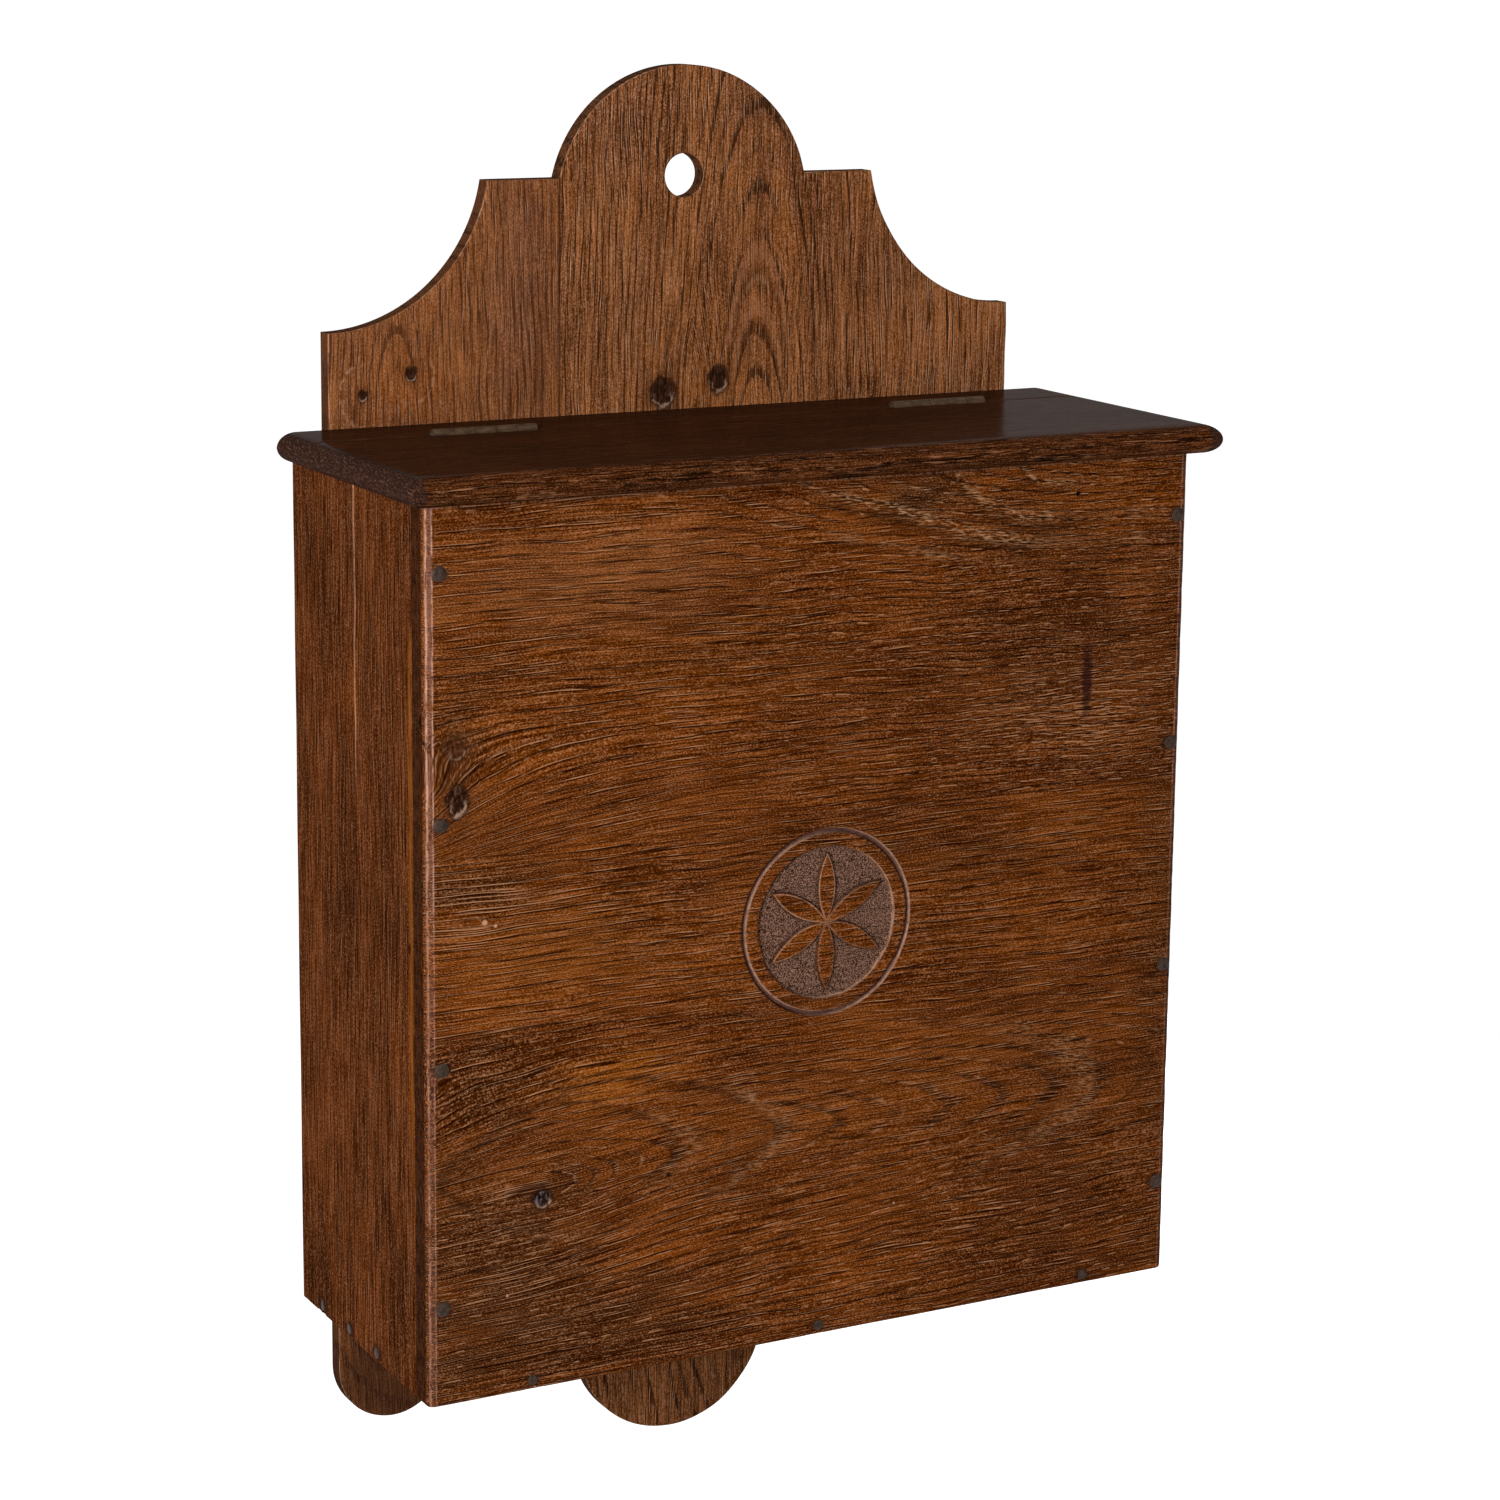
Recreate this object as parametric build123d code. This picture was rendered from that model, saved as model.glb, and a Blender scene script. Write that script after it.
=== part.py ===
from build123d import *
import math
import os

os.makedirs("parts", exist_ok=True)

# A wall box for papers: a shaped back board, a deep case and a hinged lid.
# X runs to the viewer's right, Y towards the wall and Z up.
# The origin is the middle of the hanging hole, on the wall plane.

# Case
case_width = 340.0
case_height = 352.0
case_depth = 132.0
side_thickness = 12.5
front_thickness = 12.5
front_edge_round = 3.0
front_glue_rise = 216.8
bottom_thickness = 9.0
bottom_rebate = 4.0

# Back board, level with the hanging hole at its shoulders
back_thickness = 9.0
hole_above_top = 96.5
hole_diameter = 18.0
glue_line_x = -57.0
crest_radius = 58.0
crest_drop = 13.0
scoop_radius = 70.0
scoop_lift = 11.5
notch_drop = 14.0
corner_lobe_radius = 24.0
corner_lobe_drop = 32.0
centre_lobe_radius = 44.5
centre_lobe_drop = 41.0
centre_lobe_shift = -2.0

# Top: a fixed rail at the back and the lid in front of it
top_thickness = 12.0
nose_reach = 8.0
side_overhang = 10.0
front_overhang = 11.0
seam_from_wall = 40.0
seam_gap = 0.8

# Butt hinges, half sunk in the seam
hinge_length = 45.0
hinge_from_end = 75.5
barrel_diameter = 4.8
barrel_clearance = 0.35
knuckle_count = 5
knuckle_gap = 0.3
hinge_pin_diameter = 2.2
hinge_pin_clearance = 0.05
leaf_thickness = 1.2
leaf_height = 9.5
mortise_clearance = 0.1

# Hinge screws
screws_per_leaf = 3
screw_pitch = 15.0
screw_drop = 6.1
screw_head_diameter = 4.2
screw_head_depth = 1.0
screw_shank_diameter = 2.2
screw_length = 13.0
screw_slot_width = 0.6
screw_slot_depth = 0.45

# Nails
nail_clearance = 0.05
nail_point = 4.0
nail_head_sink = 0.7
front_nail_head = 6.0
front_nail_dome = 0.7
front_nail_shank = 2.4
front_nail_length = 34.0
front_nail_count = 4
front_nail_above_bottom = 39.5
front_nail_below_top = 25.7
front_nail_inset_left = 6.0
front_nail_inset_right = 4.6
bottom_nail_head = 4.4
bottom_nail_dome = 0.5
bottom_nail_shank = 1.8
bottom_nail_count = 3
bottom_nail_inset = 42.4
bottom_nail_shift = 1.6
bottom_nail_rise = 3.8
side_nail_length = 26.0
side_nail_from_wall = 22.0
side_nail_pitch = 28.6
side_nail_count = 3
back_nail_head = 5.0
back_nail_shank = 2.2
back_nail_length = 27.0
back_nail_count = 5
back_nail_inset = 21.5
back_nail_depth = 0.4

# Carved roundel on the front board
roundel_x = 2.7
roundel_rise = 173.3
roundel_ring_diameter = 77.0
roundel_ring_width = 1.6
roundel_ring_depth = 1.0
roundel_recess_diameter = 62.0
roundel_recess_depth = 1.6
petal_count = 6
petal_length = 28.0
petal_hub_diameter = 7.0

# Levels and places that follow from the sizes above
top_z = -hole_above_top
case_top_z = top_z - top_thickness
underside_z = case_top_z - case_height
front_glue_z = underside_z + front_glue_rise
front_y = -case_depth
front_inner_y = front_y + front_thickness
inner_half_width = case_width / 2 - side_thickness
barrel_radius = barrel_diameter / 2
barrel_room = barrel_radius + barrel_clearance
rail_front_y = -seam_from_wall + seam_gap / 2
lid_back_y = -seam_from_wall - seam_gap / 2
lid_front_y = front_y - front_overhang
top_half_width = case_width / 2 + side_overhang
knuckle_pitch = hinge_length / knuckle_count


def block(x0, x1, y0, y1, z0, z1):
    """A box between two corners"""
    size = (x1 - x0, y1 - y0, z1 - z0)
    middle = ((x0 + x1) / 2, (y0 + y1) / 2, (z0 + z1) / 2)
    return Pos(*middle) * Box(*size)


def rod_along_x(radius, length):
    """A cylinder along X, centred on the origin"""
    return Rot(0, 90, 0) * Cylinder(radius, length)


def nail(head, dome, shank, length, room=0.0):
    """A nail along +Y with its head's rim at Y = 0, or with room added the hole that it fills"""
    head_radius = head / 2 + room
    shank_radius = shank / 2 + room
    tip = length + room
    outline = Polyline(
        (0, -dome),
        (head_radius * 0.75, -dome * 0.7),
        (head_radius, 0),
        (head_radius, nail_head_sink),
        (shank_radius, nail_head_sink),
        (shank_radius, tip - nail_point),
        (0, tip),
        (0, -dome),
    )
    return revolve(make_face(outline), Axis.Y)


def screw(room=0.0):
    """A countersunk screw along +Y with its head's face at Y = 0, or with room added its hole"""
    head_radius = screw_head_diameter / 2 + room
    shank_radius = screw_shank_diameter / 2 + room
    outline = Polyline(
        (0, 0),
        (head_radius, 0),
        (shank_radius, screw_head_depth + room),
        (shank_radius, screw_length + room),
        (0, screw_length + room),
        (0, 0),
    )
    return revolve(make_face(outline), Axis.Y)


def slotted_screw():
    """The screw with the slot across its head"""
    slot = block(
        -screw_head_diameter,
        screw_head_diameter,
        -screw_slot_depth,
        screw_slot_depth,
        -screw_slot_width / 2,
        screw_slot_width / 2,
    )
    return screw() - slot


def spread(first, last, count):
    """Evenly spaced places from the first to the last"""
    return [first + (last - first) * i / (count - 1) for i in range(count)]


def front_nail_places(side):
    """Middles of the nail heads in the left (-1) or right (+1) column of the front board"""
    inset = front_nail_inset_left if side < 0 else front_nail_inset_right
    x = side * (case_width / 2 - inset)
    lowest = underside_z + front_nail_above_bottom
    highest = case_top_z - front_nail_below_top
    return [(x, front_y, z) for z in spread(lowest, highest, front_nail_count)]


def bottom_nail_places():
    """Middles of the nail heads along the front board's bottom edge"""
    half = case_width / 2 - bottom_nail_inset
    z = underside_z + bottom_nail_rise
    return [(x + bottom_nail_shift, front_y, z) for x in spread(-half, half, bottom_nail_count)]


def side_nail_places(side):
    """Middles of the nail heads along the bottom edge of the left (-1) or right (+1) side board"""
    first = -side_nail_from_wall
    last = first - side_nail_pitch * (side_nail_count - 1)
    z = underside_z + bottom_nail_rise
    return [(side * case_width / 2, y, z) for y in spread(first, last, side_nail_count)]


def back_nail_places(z):
    """Middles of the nail heads in one row on the back board's rear face"""
    half = inner_half_width - back_nail_inset
    return [(x, -back_nail_depth, z) for x in spread(-half, half, back_nail_count)]


def front_nails(places, room=0.0):
    """Nails driven from the front into the sides"""
    one = nail(front_nail_head, front_nail_dome, front_nail_shank, front_nail_length, room)
    return [Pos(*place) * one for place in places]


def bottom_nails(room=0.0):
    """Nails driven from the front into the bottom board"""
    one = nail(bottom_nail_head, bottom_nail_dome, bottom_nail_shank, front_nail_length, room)
    return [Pos(*place) * one for place in bottom_nail_places()]


def side_nails(side, room=0.0):
    """Nails driven through a side board into the edge of the bottom board"""
    one = nail(bottom_nail_head, bottom_nail_dome, bottom_nail_shank, side_nail_length, room)
    return [Pos(*place) * Rot(0, 0, side * 90) * one for place in side_nail_places(side)]


def back_nails(z, room=0.0):
    """Nails driven from behind, with their heads just below the wall plane"""
    one = Rot(0, 0, 180) * nail(back_nail_head, 0, back_nail_shank, back_nail_length, room)
    return [Pos(*place) * one for place in back_nail_places(z)]


def back_nail_mouths(z):
    """The short way in above each nail head in the back board's rear face"""
    one = Rot(90, 0, 0) * Cylinder(back_nail_head / 2 + nail_clearance, 2 * back_nail_depth)
    return [Pos(x, 0, z) * one for x, _, z in back_nail_places(z)]


def back_nail_cuts():
    """Everything that the two rows of back nails take out of the boards"""
    rows = [case_top_z + top_thickness / 2, underside_z + bottom_thickness / 2]
    cuts = []
    for z in rows:
        cuts += back_nails(z, nail_clearance)
        cuts += back_nail_mouths(z)
    return cuts


def back_outline():
    """The outline of the whole back board in X and Z, clockwise from the left shoulder"""
    half = inner_half_width
    crest_foot = math.sqrt(crest_radius**2 - crest_drop**2)
    scoop_side = math.sqrt(scoop_radius**2 - scoop_lift**2)
    scoop_lean = math.radians(45)
    scoop_mid_x = half - scoop_radius * math.sin(scoop_lean)
    scoop_mid_z = scoop_lift - scoop_radius * math.cos(scoop_lean)
    scoop_end_z = scoop_lift - scoop_radius
    corner_x = half - corner_lobe_radius
    corner_z = underside_z - corner_lobe_drop
    lobe_z = underside_z - centre_lobe_drop
    notch_z = underside_z - notch_drop
    notch_x = half - 2 * corner_lobe_radius
    lobe_left = centre_lobe_shift - centre_lobe_radius
    lobe_right = centre_lobe_shift + centre_lobe_radius
    return [
        Line((-(half - scoop_side), 0), (-crest_foot, 0)),
        ThreePointArc((-crest_foot, 0), (0, crest_radius - crest_drop), (crest_foot, 0)),
        Line((crest_foot, 0), (half - scoop_side, 0)),
        ThreePointArc((half - scoop_side, 0), (scoop_mid_x, scoop_mid_z), (half, scoop_end_z)),
        Line((half, scoop_end_z), (half, corner_z)),
        ThreePointArc((half, corner_z), (corner_x, corner_z - corner_lobe_radius), (notch_x, corner_z)),
        Line((notch_x, corner_z), (notch_x, notch_z)),
        Line((notch_x, notch_z), (lobe_right, notch_z)),
        Line((lobe_right, notch_z), (lobe_right, lobe_z)),
        ThreePointArc(
            (lobe_right, lobe_z),
            (centre_lobe_shift, lobe_z - centre_lobe_radius),
            (lobe_left, lobe_z),
        ),
        Line((lobe_left, lobe_z), (lobe_left, notch_z)),
        Line((lobe_left, notch_z), (-notch_x, notch_z)),
        Line((-notch_x, notch_z), (-notch_x, corner_z)),
        ThreePointArc((-notch_x, corner_z), (-corner_x, corner_z - corner_lobe_radius), (-half, corner_z)),
        Line((-half, corner_z), (-half, scoop_end_z)),
        ThreePointArc((-half, scoop_end_z), (-scoop_mid_x, scoop_mid_z), (-(half - scoop_side), 0)),
    ]


def back_board():
    """Both glued boards as one, with the hanging hole and the nail holes"""
    face = Plane.XZ * make_face(back_outline())
    board = extrude(face, amount=back_thickness, dir=(0, -1, 0))
    board -= Rot(90, 0, 0) * Cylinder(hole_diameter / 2, 3 * back_thickness)
    for cut in back_nail_cuts():
        board -= cut
    return board


def one_back_board(x0, x1):
    """The part of the back board between two X places"""
    reach = case_height - underside_z
    return back_board() & block(x0, x1, -back_thickness, 0, -reach, reach)


def side_board(side):
    """A side board, left (-1) or right (+1), rebated for the bottom board"""
    outer = side * case_width / 2
    inner = side * inner_half_width
    rebate_x = side * (inner_half_width + bottom_rebate)
    x0, x1 = sorted((outer, inner))
    board = block(x0, x1, front_inner_y, 0, underside_z, case_top_z)
    x0, x1 = sorted((inner, rebate_x))
    board -= block(x0, x1, front_inner_y, -back_thickness, underside_z, underside_z + bottom_thickness)
    holes = front_nails(front_nail_places(side), nail_clearance)
    holes += side_nails(side, nail_clearance)
    for hole in holes:
        board -= hole
    return board


def bottom_board():
    """The bottom board, let into both sides and nailed at its front and back edges"""
    half = inner_half_width + bottom_rebate
    top = underside_z + bottom_thickness
    board = block(-half, half, front_inner_y, -back_thickness, underside_z, top)
    holes = bottom_nails(nail_clearance)
    holes += back_nails(underside_z + bottom_thickness / 2, nail_clearance)
    for side in (-1, 1):
        holes += side_nails(side, nail_clearance)
    for hole in holes:
        board -= hole
    return board


def petal_sketch():
    """Six compass-drawn petals round a small hub"""
    offset = petal_length * math.sin(math.pi / 3)
    circle = Circle(petal_length)
    petal = (Pos(petal_length / 2, offset) * circle) & (Pos(petal_length / 2, -offset) * circle)
    sketch = Sketch() + Circle(petal_hub_diameter / 2)
    for i in range(petal_count):
        sketch += Rot(0, 0, 90 + i * 360 / petal_count) * petal
    return sketch


def roundel_cut():
    """What the carver takes out of the front board: a ring groove and the ground round the petals"""
    ring_radius = roundel_ring_diameter / 2
    ring = Circle(ring_radius) - Circle(ring_radius - roundel_ring_width)
    ground = Circle(roundel_recess_diameter / 2) - petal_sketch()
    groove = extrude(Plane.XZ * ring, amount=roundel_ring_depth, dir=(0, 1, 0))
    recess = extrude(Plane.XZ * ground, amount=roundel_recess_depth, dir=(0, 1, 0))
    return Pos(roundel_x, front_y, underside_z + roundel_rise) * (groove + recess)


def front_board():
    """Both glued boards of the front as one, lapped over the sides, with the upright edges rounded"""
    half = case_width / 2
    board = block(-half, half, front_y, front_inner_y, underside_z, case_top_z)
    upright = board.edges().filter_by(Axis.Z).sort_by(Axis.Y)[:2]
    board = fillet(upright, front_edge_round)
    board -= roundel_cut()
    holes = bottom_nails(nail_clearance)
    for side in (-1, 1):
        holes += front_nails(front_nail_places(side), nail_clearance)
    for hole in holes:
        board -= hole
    return board


def one_front_board(z0, z1):
    """The part of the front between two levels"""
    half = case_width / 2
    return front_board() & block(-half, half, front_y, front_inner_y, z0, z1)


def nosed_slab(y0, y1):
    """A slab of the top between two Y places, with a rounded nose at each end"""
    middle_z = case_top_z + top_thickness / 2
    flat_half = top_half_width - nose_reach
    section = Rectangle(2 * flat_half, top_thickness)
    for side in (-1, 1):
        section += Pos(side * flat_half, 0) * Ellipse(nose_reach, top_thickness / 2)
    face = Pos(0, y1, middle_z) * (Plane.XZ * section)
    return extrude(face, amount=y1 - y0, dir=(0, -1, 0))


def front_nosed_slab():
    """A long slab with a rounded nose along the front, which the lid's ends are cut from"""
    middle_z = case_top_z + top_thickness / 2
    flat_y = lid_front_y + nose_reach
    flat_length = lid_back_y - flat_y
    section = Pos(flat_y + flat_length / 2, 0) * Rectangle(flat_length, top_thickness)
    section += Pos(flat_y, 0) * Ellipse(nose_reach, top_thickness / 2)
    face = Pos(-case_width, 0, middle_z) * (Plane.YZ * section)
    return extrude(face, amount=2 * case_width, dir=(1, 0, 0))


def hinge_places():
    """The middle of each hinge's axis, by its name"""
    x = top_half_width - hinge_from_end
    return {"left": Pos(-x, -seam_from_wall, top_z), "right": Pos(x, -seam_from_wall, top_z)}


def hinge_seat(side):
    """What a hinge takes out of the rail (+1) or the lid (-1), about the hinge's own axis"""
    length = hinge_length + 2 * mortise_clearance
    y0, y1 = sorted((0, side * (seam_gap / 2 + leaf_thickness)))
    seat = block(-length / 2, length / 2, y0, y1, -leaf_height - mortise_clearance, barrel_room)
    seat += rod_along_x(barrel_room, length)
    for hole in leaf_screws(side, screw(nail_clearance)):
        seat += hole
    return seat


def leaf_screws(side, one):
    """One leaf's row of screws, heads facing the seam, about the hinge's own axis"""
    turn = 0 if side > 0 else 180
    half = screw_pitch * (screws_per_leaf - 1) / 2
    row = spread(-half, half, screws_per_leaf)
    return [Pos(x, side * seam_gap / 2, -screw_drop) * Rot(0, 0, turn) * one for x in row]


def hinge_leaf(side):
    """A leaf with its share of the knuckles, rail (+1) or lid (-1), about the hinge's own axis"""
    y0, y1 = sorted((side * seam_gap / 2, side * (seam_gap / 2 + leaf_thickness)))
    leaf = block(-hinge_length / 2, hinge_length / 2, y0, y1, -leaf_height, 0)
    leaf -= rod_along_x(barrel_room, 2 * hinge_length)
    length = knuckle_pitch - knuckle_gap
    first = 0 if side > 0 else 1
    for i in range(first, knuckle_count, 2):
        x = (i + 0.5) * knuckle_pitch - hinge_length / 2
        leaf += Pos(x, 0, 0) * rod_along_x(barrel_radius, length)
        leaf += block(x - length / 2, x + length / 2, y0, y1, -barrel_room - leaf_thickness, 0)
    leaf -= rod_along_x(hinge_pin_diameter / 2 + hinge_pin_clearance, 2 * hinge_length)
    for hole in leaf_screws(side, screw(nail_clearance)):
        leaf -= hole
    return leaf


def hinge_rail():
    """The fixed rail of the top, against the back board's face, cut for both hinges"""
    rail = nosed_slab(rail_front_y, -back_thickness)
    for place in hinge_places().values():
        rail -= place * hinge_seat(1)
    for hole in back_nails(case_top_z + top_thickness / 2, nail_clearance):
        rail -= hole
    return rail


def lid():
    """The lid, nosed along its front and both ends so that the noses meet in a mitre"""
    board = nosed_slab(lid_front_y, lid_back_y) & front_nosed_slab()
    for place in hinge_places().values():
        board -= place * hinge_seat(-1)
    return board


def group(solids):
    """Alike fasteners kept together as separate solids"""
    return Compound(children=[Part() + solid for solid in solids])


def all_nodes():
    """Every piece of the box by its name"""
    half = inner_half_width
    nodes = {
        "back_board_narrow": one_back_board(-half, glue_line_x),
        "back_board_wide": one_back_board(glue_line_x, half),
        "left_side_board": side_board(-1),
        "right_side_board": side_board(1),
        "front_board_upper": one_front_board(front_glue_z, case_top_z),
        "front_board_lower": one_front_board(underside_z, front_glue_z),
        "bottom_board": bottom_board(),
        "hinge_rail": hinge_rail(),
        "lid": lid(),
        "front_nails_left": group(front_nails(front_nail_places(-1))),
        "front_nails_right": group(front_nails(front_nail_places(1))),
        "front_nails_bottom": group(bottom_nails()),
        "side_nails_left": group(side_nails(-1)),
        "side_nails_right": group(side_nails(1)),
        "back_nails_rail": group(back_nails(case_top_z + top_thickness / 2)),
        "back_nails_bottom": group(back_nails(underside_z + bottom_thickness / 2)),
    }
    for name, place in hinge_places().items():
        nodes[f"{name}_hinge_rail_leaf"] = place * hinge_leaf(1)
        nodes[f"{name}_hinge_lid_leaf"] = place * hinge_leaf(-1)
        nodes[f"{name}_hinge_pin"] = place * rod_along_x(hinge_pin_diameter / 2, hinge_length)
        nodes[f"{name}_hinge_rail_screws"] = group([place * s for s in leaf_screws(1, slotted_screw())])
        nodes[f"{name}_hinge_lid_screws"] = group([place * s for s in leaf_screws(-1, slotted_screw())])
    return nodes


for node, shape in all_nodes().items():
    export_step(shape, f"parts/{node}.step")
    print(node, len(shape.solids()), round(shape.volume))
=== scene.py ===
import math

import bmesh
import bpy
import numpy as np
from mathutils import Matrix, Vector
from mathutils.geometry import delaunay_2d_cdt


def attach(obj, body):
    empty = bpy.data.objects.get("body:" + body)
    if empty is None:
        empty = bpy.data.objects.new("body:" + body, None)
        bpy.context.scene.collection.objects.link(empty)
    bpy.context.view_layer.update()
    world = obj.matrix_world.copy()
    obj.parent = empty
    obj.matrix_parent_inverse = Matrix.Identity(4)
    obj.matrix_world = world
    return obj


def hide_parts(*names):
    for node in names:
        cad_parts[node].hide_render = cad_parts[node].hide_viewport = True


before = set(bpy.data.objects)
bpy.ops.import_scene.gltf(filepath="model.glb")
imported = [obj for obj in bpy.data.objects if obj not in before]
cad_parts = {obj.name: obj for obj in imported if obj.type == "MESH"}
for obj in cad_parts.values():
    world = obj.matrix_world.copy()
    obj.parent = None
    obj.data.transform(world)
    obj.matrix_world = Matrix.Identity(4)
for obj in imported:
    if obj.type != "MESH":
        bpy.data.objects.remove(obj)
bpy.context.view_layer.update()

# The looks of a wall box for papers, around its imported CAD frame.
# Lengths are in millimetres until a mesh is made. X is to the viewer's right, Y towards the wall, Z up.
# In a board's own frame u and v lie in its outer face and w is the depth below that face.

MM = 0.001
MERGE_DISTANCE = 2e-6
SHARP_ANGLE = math.radians(38)

# Levels and places of the boards
TOP_Z = -96.5
CASE_TOP_Z = -108.5
UNDERSIDE_Z = -460.5
JOINT_Z = -243.7
FRONT_Y = -132.0
FRONT_BOARD = 12.5
HALF_WIDTH = 170.0
SIDE_BOARD = 12.5
INNER_HALF = HALF_WIDTH - SIDE_BOARD
BACK_BOARD = 9.0
GLUE_X = -57.0
HOLE_RADIUS = 9.0
ARRIS = 3.0
BOTTOM_BOARD = 9.0
BOTTOM_LAP = 4.0
SEAM_Y = -40.0
SEAM_GAP = 0.8

# The top and its nose
TOP_HALF = 180.0
NOSE_REACH = 8.0
TOP_THICKNESS = 12.0
LID_FRONT_Y = -143.0

# What is cut for the hinges: their places, the slots for their leaves and the round for their barrels
HINGE_X = (-104.5, 104.5)
SLOT_HALF = 22.6
SLOT_DEEP = 1.2
SLOT_LOW = 9.6
BARREL_RADIUS = 2.75

# The roundel
ROUNDEL = (2.7, -287.2)
RING_OUTER = 38.3
RING_INNER = 36.5
RING_DEPTH = 1.5
GROUND_RADIUS = 31.0
GROUND_DEPTH = 2.2
PETAL_LENGTH = 28.0
PETAL_TURN = math.pi / 3
PETAL_SIDE = PETAL_LENGTH * math.sin(PETAL_TURN)
HUB_RADIUS = 3.5

# Nails
FRONT_NAIL_X = (-164.0, 165.4)
FRONT_NAIL_Z = (-421.0, -325.4, -229.8, -134.2)
BOTTOM_NAIL_X = (-126.0, 1.6, 129.2)
LOW_NAIL_Z = -456.7
FRONT_NAILS = [(u, v) for u in FRONT_NAIL_X for v in FRONT_NAIL_Z]
BOTTOM_NAILS = [(u, LOW_NAIL_Z) for u in BOTTOM_NAIL_X]
SIDE_NAIL_Y = (-22.0, -50.6, -79.2)
BACK_NAIL_X = (-136.0, -68.0, 0.0, 68.0, 136.0)
BACK_NAIL_Z = {"back_nails_rail": -102.5, "back_nails_bottom": -456.0}


def waves(points, size, seed, count=8):
    """A smooth random field of about unit height, with bumps of about the given size"""
    rng = np.random.default_rng(seed)
    total = np.zeros(len(points))
    for _ in range(count):
        direction = rng.normal(size=points.shape[1])
        direction /= np.linalg.norm(direction)
        rate = 2 * math.pi / size * rng.uniform(0.6, 1.5)
        total += np.sin(points @ direction * rate + rng.uniform(0, 2 * math.pi))
    return total / math.sqrt(count / 2)


def smooth(x, low, high):
    """0 below low, 1 above high and a soft change between"""
    t = np.clip((x - low) / (high - low), 0, 1)
    return t * t * (3 - 2 * t)


def linked(name, data):
    """A new object in the scene"""
    made = bpy.data.objects.new(name, data)
    bpy.context.scene.collection.objects.link(made)
    return made


def clean_mesh(name, points, faces, merge=True):
    """A mesh of points in millimetres, with outward normals and, if asked, its doubled points merged"""
    mesh = bpy.data.meshes.new(name)
    mesh.from_pydata((np.asarray(points) * MM).tolist(), [], [list(map(int, face)) for face in faces])
    work = bmesh.new()
    work.from_mesh(mesh)
    if merge:
        bmesh.ops.remove_doubles(work, verts=work.verts, dist=MERGE_DISTANCE)
        bmesh.ops.dissolve_degenerate(work, edges=work.edges, dist=MERGE_DISTANCE / 2)
    bmesh.ops.recalc_face_normals(work, faces=work.faces)
    work.to_mesh(mesh)
    work.free()
    return mesh


def shade(mesh):
    """Smooth shading that keeps the sharp edges"""
    mesh.shade_smooth()
    mesh.set_sharp_from_angle(angle=SHARP_ANGLE)


def new_piece(name, points, faces, material, slot, body, *nodes):
    """A mesh object of the given points, which stands for CAD nodes and rides on a body"""
    piece = linked(name, clean_mesh(name, points, faces))
    shade(piece.data)
    piece.data.materials.append(material)
    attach(piece, body)
    if nodes:
        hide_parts(*nodes)
    return piece


def triangulate(points, loops, keep):
    """Triangles over flat points, with closed loops of point numbers as edges, where keep(middles) says so"""
    edges = []
    for loop in loops:
        edges += [(int(a), int(b)) for a, b in zip(loop, np.roll(loop, -1))]
    found = delaunay_2d_cdt([Vector(p) for p in points.tolist()], edges, [], 0, 1e-7, True)
    faces = np.array(found[2])
    corners = np.array([tuple(p) for p in found[0]])[faces]
    origin = np.array([ids[0] if ids else -1 for ids in found[3]])
    side_a = corners[:, 1] - corners[:, 0]
    side_b = corners[:, 2] - corners[:, 0]
    area = side_a[:, 0] * side_b[:, 1] - side_a[:, 1] * side_b[:, 0]
    good = keep(corners.mean(axis=1)) & (np.abs(area) > 1e-9) & (origin[faces] >= 0).all(axis=1)
    return origin[faces[good]]


def inside(points, loop):
    """Which points lie inside a closed loop"""
    x, y = points[:, 0], points[:, 1]
    crossed = np.zeros(len(points), bool)
    ends = np.roll(loop, -1, axis=0)
    for (x0, y0), (x1, y1) in zip(loop, ends):
        if y0 != y1:
            spans = (y0 > y) != (y1 > y)
            crossed ^= spans & (x < (x1 - x0) * (y - y0) / (y1 - y0) + x0)
    return crossed


def dent(points, u, v, inner, outer):
    """1 within the inner radius of a place on a face, and 0 beyond the outer one"""
    away = np.hypot(points[:, 0] - u, points[:, 1] - v)
    return 1 - smooth(away, inner, outer)


def scattered(u0, u1, v0, v1, spacing, seed):
    """Points of a staggered grid, each moved a little"""
    rng = np.random.default_rng(seed)
    rows = max(2, int(round((v1 - v0) / (spacing * 0.87))))
    points = []
    for row in range(1, rows):
        v = v0 + (v1 - v0) * row / rows
        shift = (row % 2) * spacing / 2
        us = np.arange(u0 + spacing * 0.6 + shift, u1 - spacing * 0.4, spacing)
        points += [(u, v) for u in us]
    points = np.array(points)
    return points + rng.uniform(-0.18, 0.18, points.shape) * spacing


def clear_of(points, others, distance):
    """The points that keep a distance from all the others"""
    kept = np.ones(len(points), bool)
    for start in range(0, len(others), 400):
        some = others[start:start + 400]
        gaps = np.linalg.norm(points[:, None, :] - some[None, :, :], axis=2)
        kept &= gaps.min(axis=1) > distance
    return points[kept]


def turns(count):
    """Angles in equal steps round a circle"""
    return np.arange(count) * 2 * math.pi / count


def on_circle(u, v, radius, angles):
    """Points on a circle at the given angles"""
    return np.column_stack([u + radius * np.cos(angles), v + radius * np.sin(angles)])


def rings(u, v, radii, spacing, twist=1.0):
    """Points on circles about one place, each circle turned a little"""
    points = []
    for radius in radii:
        count = max(8, int(2 * math.pi * radius / spacing))
        points.append(on_circle(u, v, radius, turns(count) + radius * twist))
    return np.concatenate(points)


def bridge(starts, count):
    """Faces between rings of points, each ring given by the number of its first point"""
    faces = []
    for a, b in zip(starts[:-1], starts[1:]):
        for i in range(count):
            j = (i + 1) % count
            faces.append((a + i, a + j, b + j, b + i))
    return faces


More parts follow.
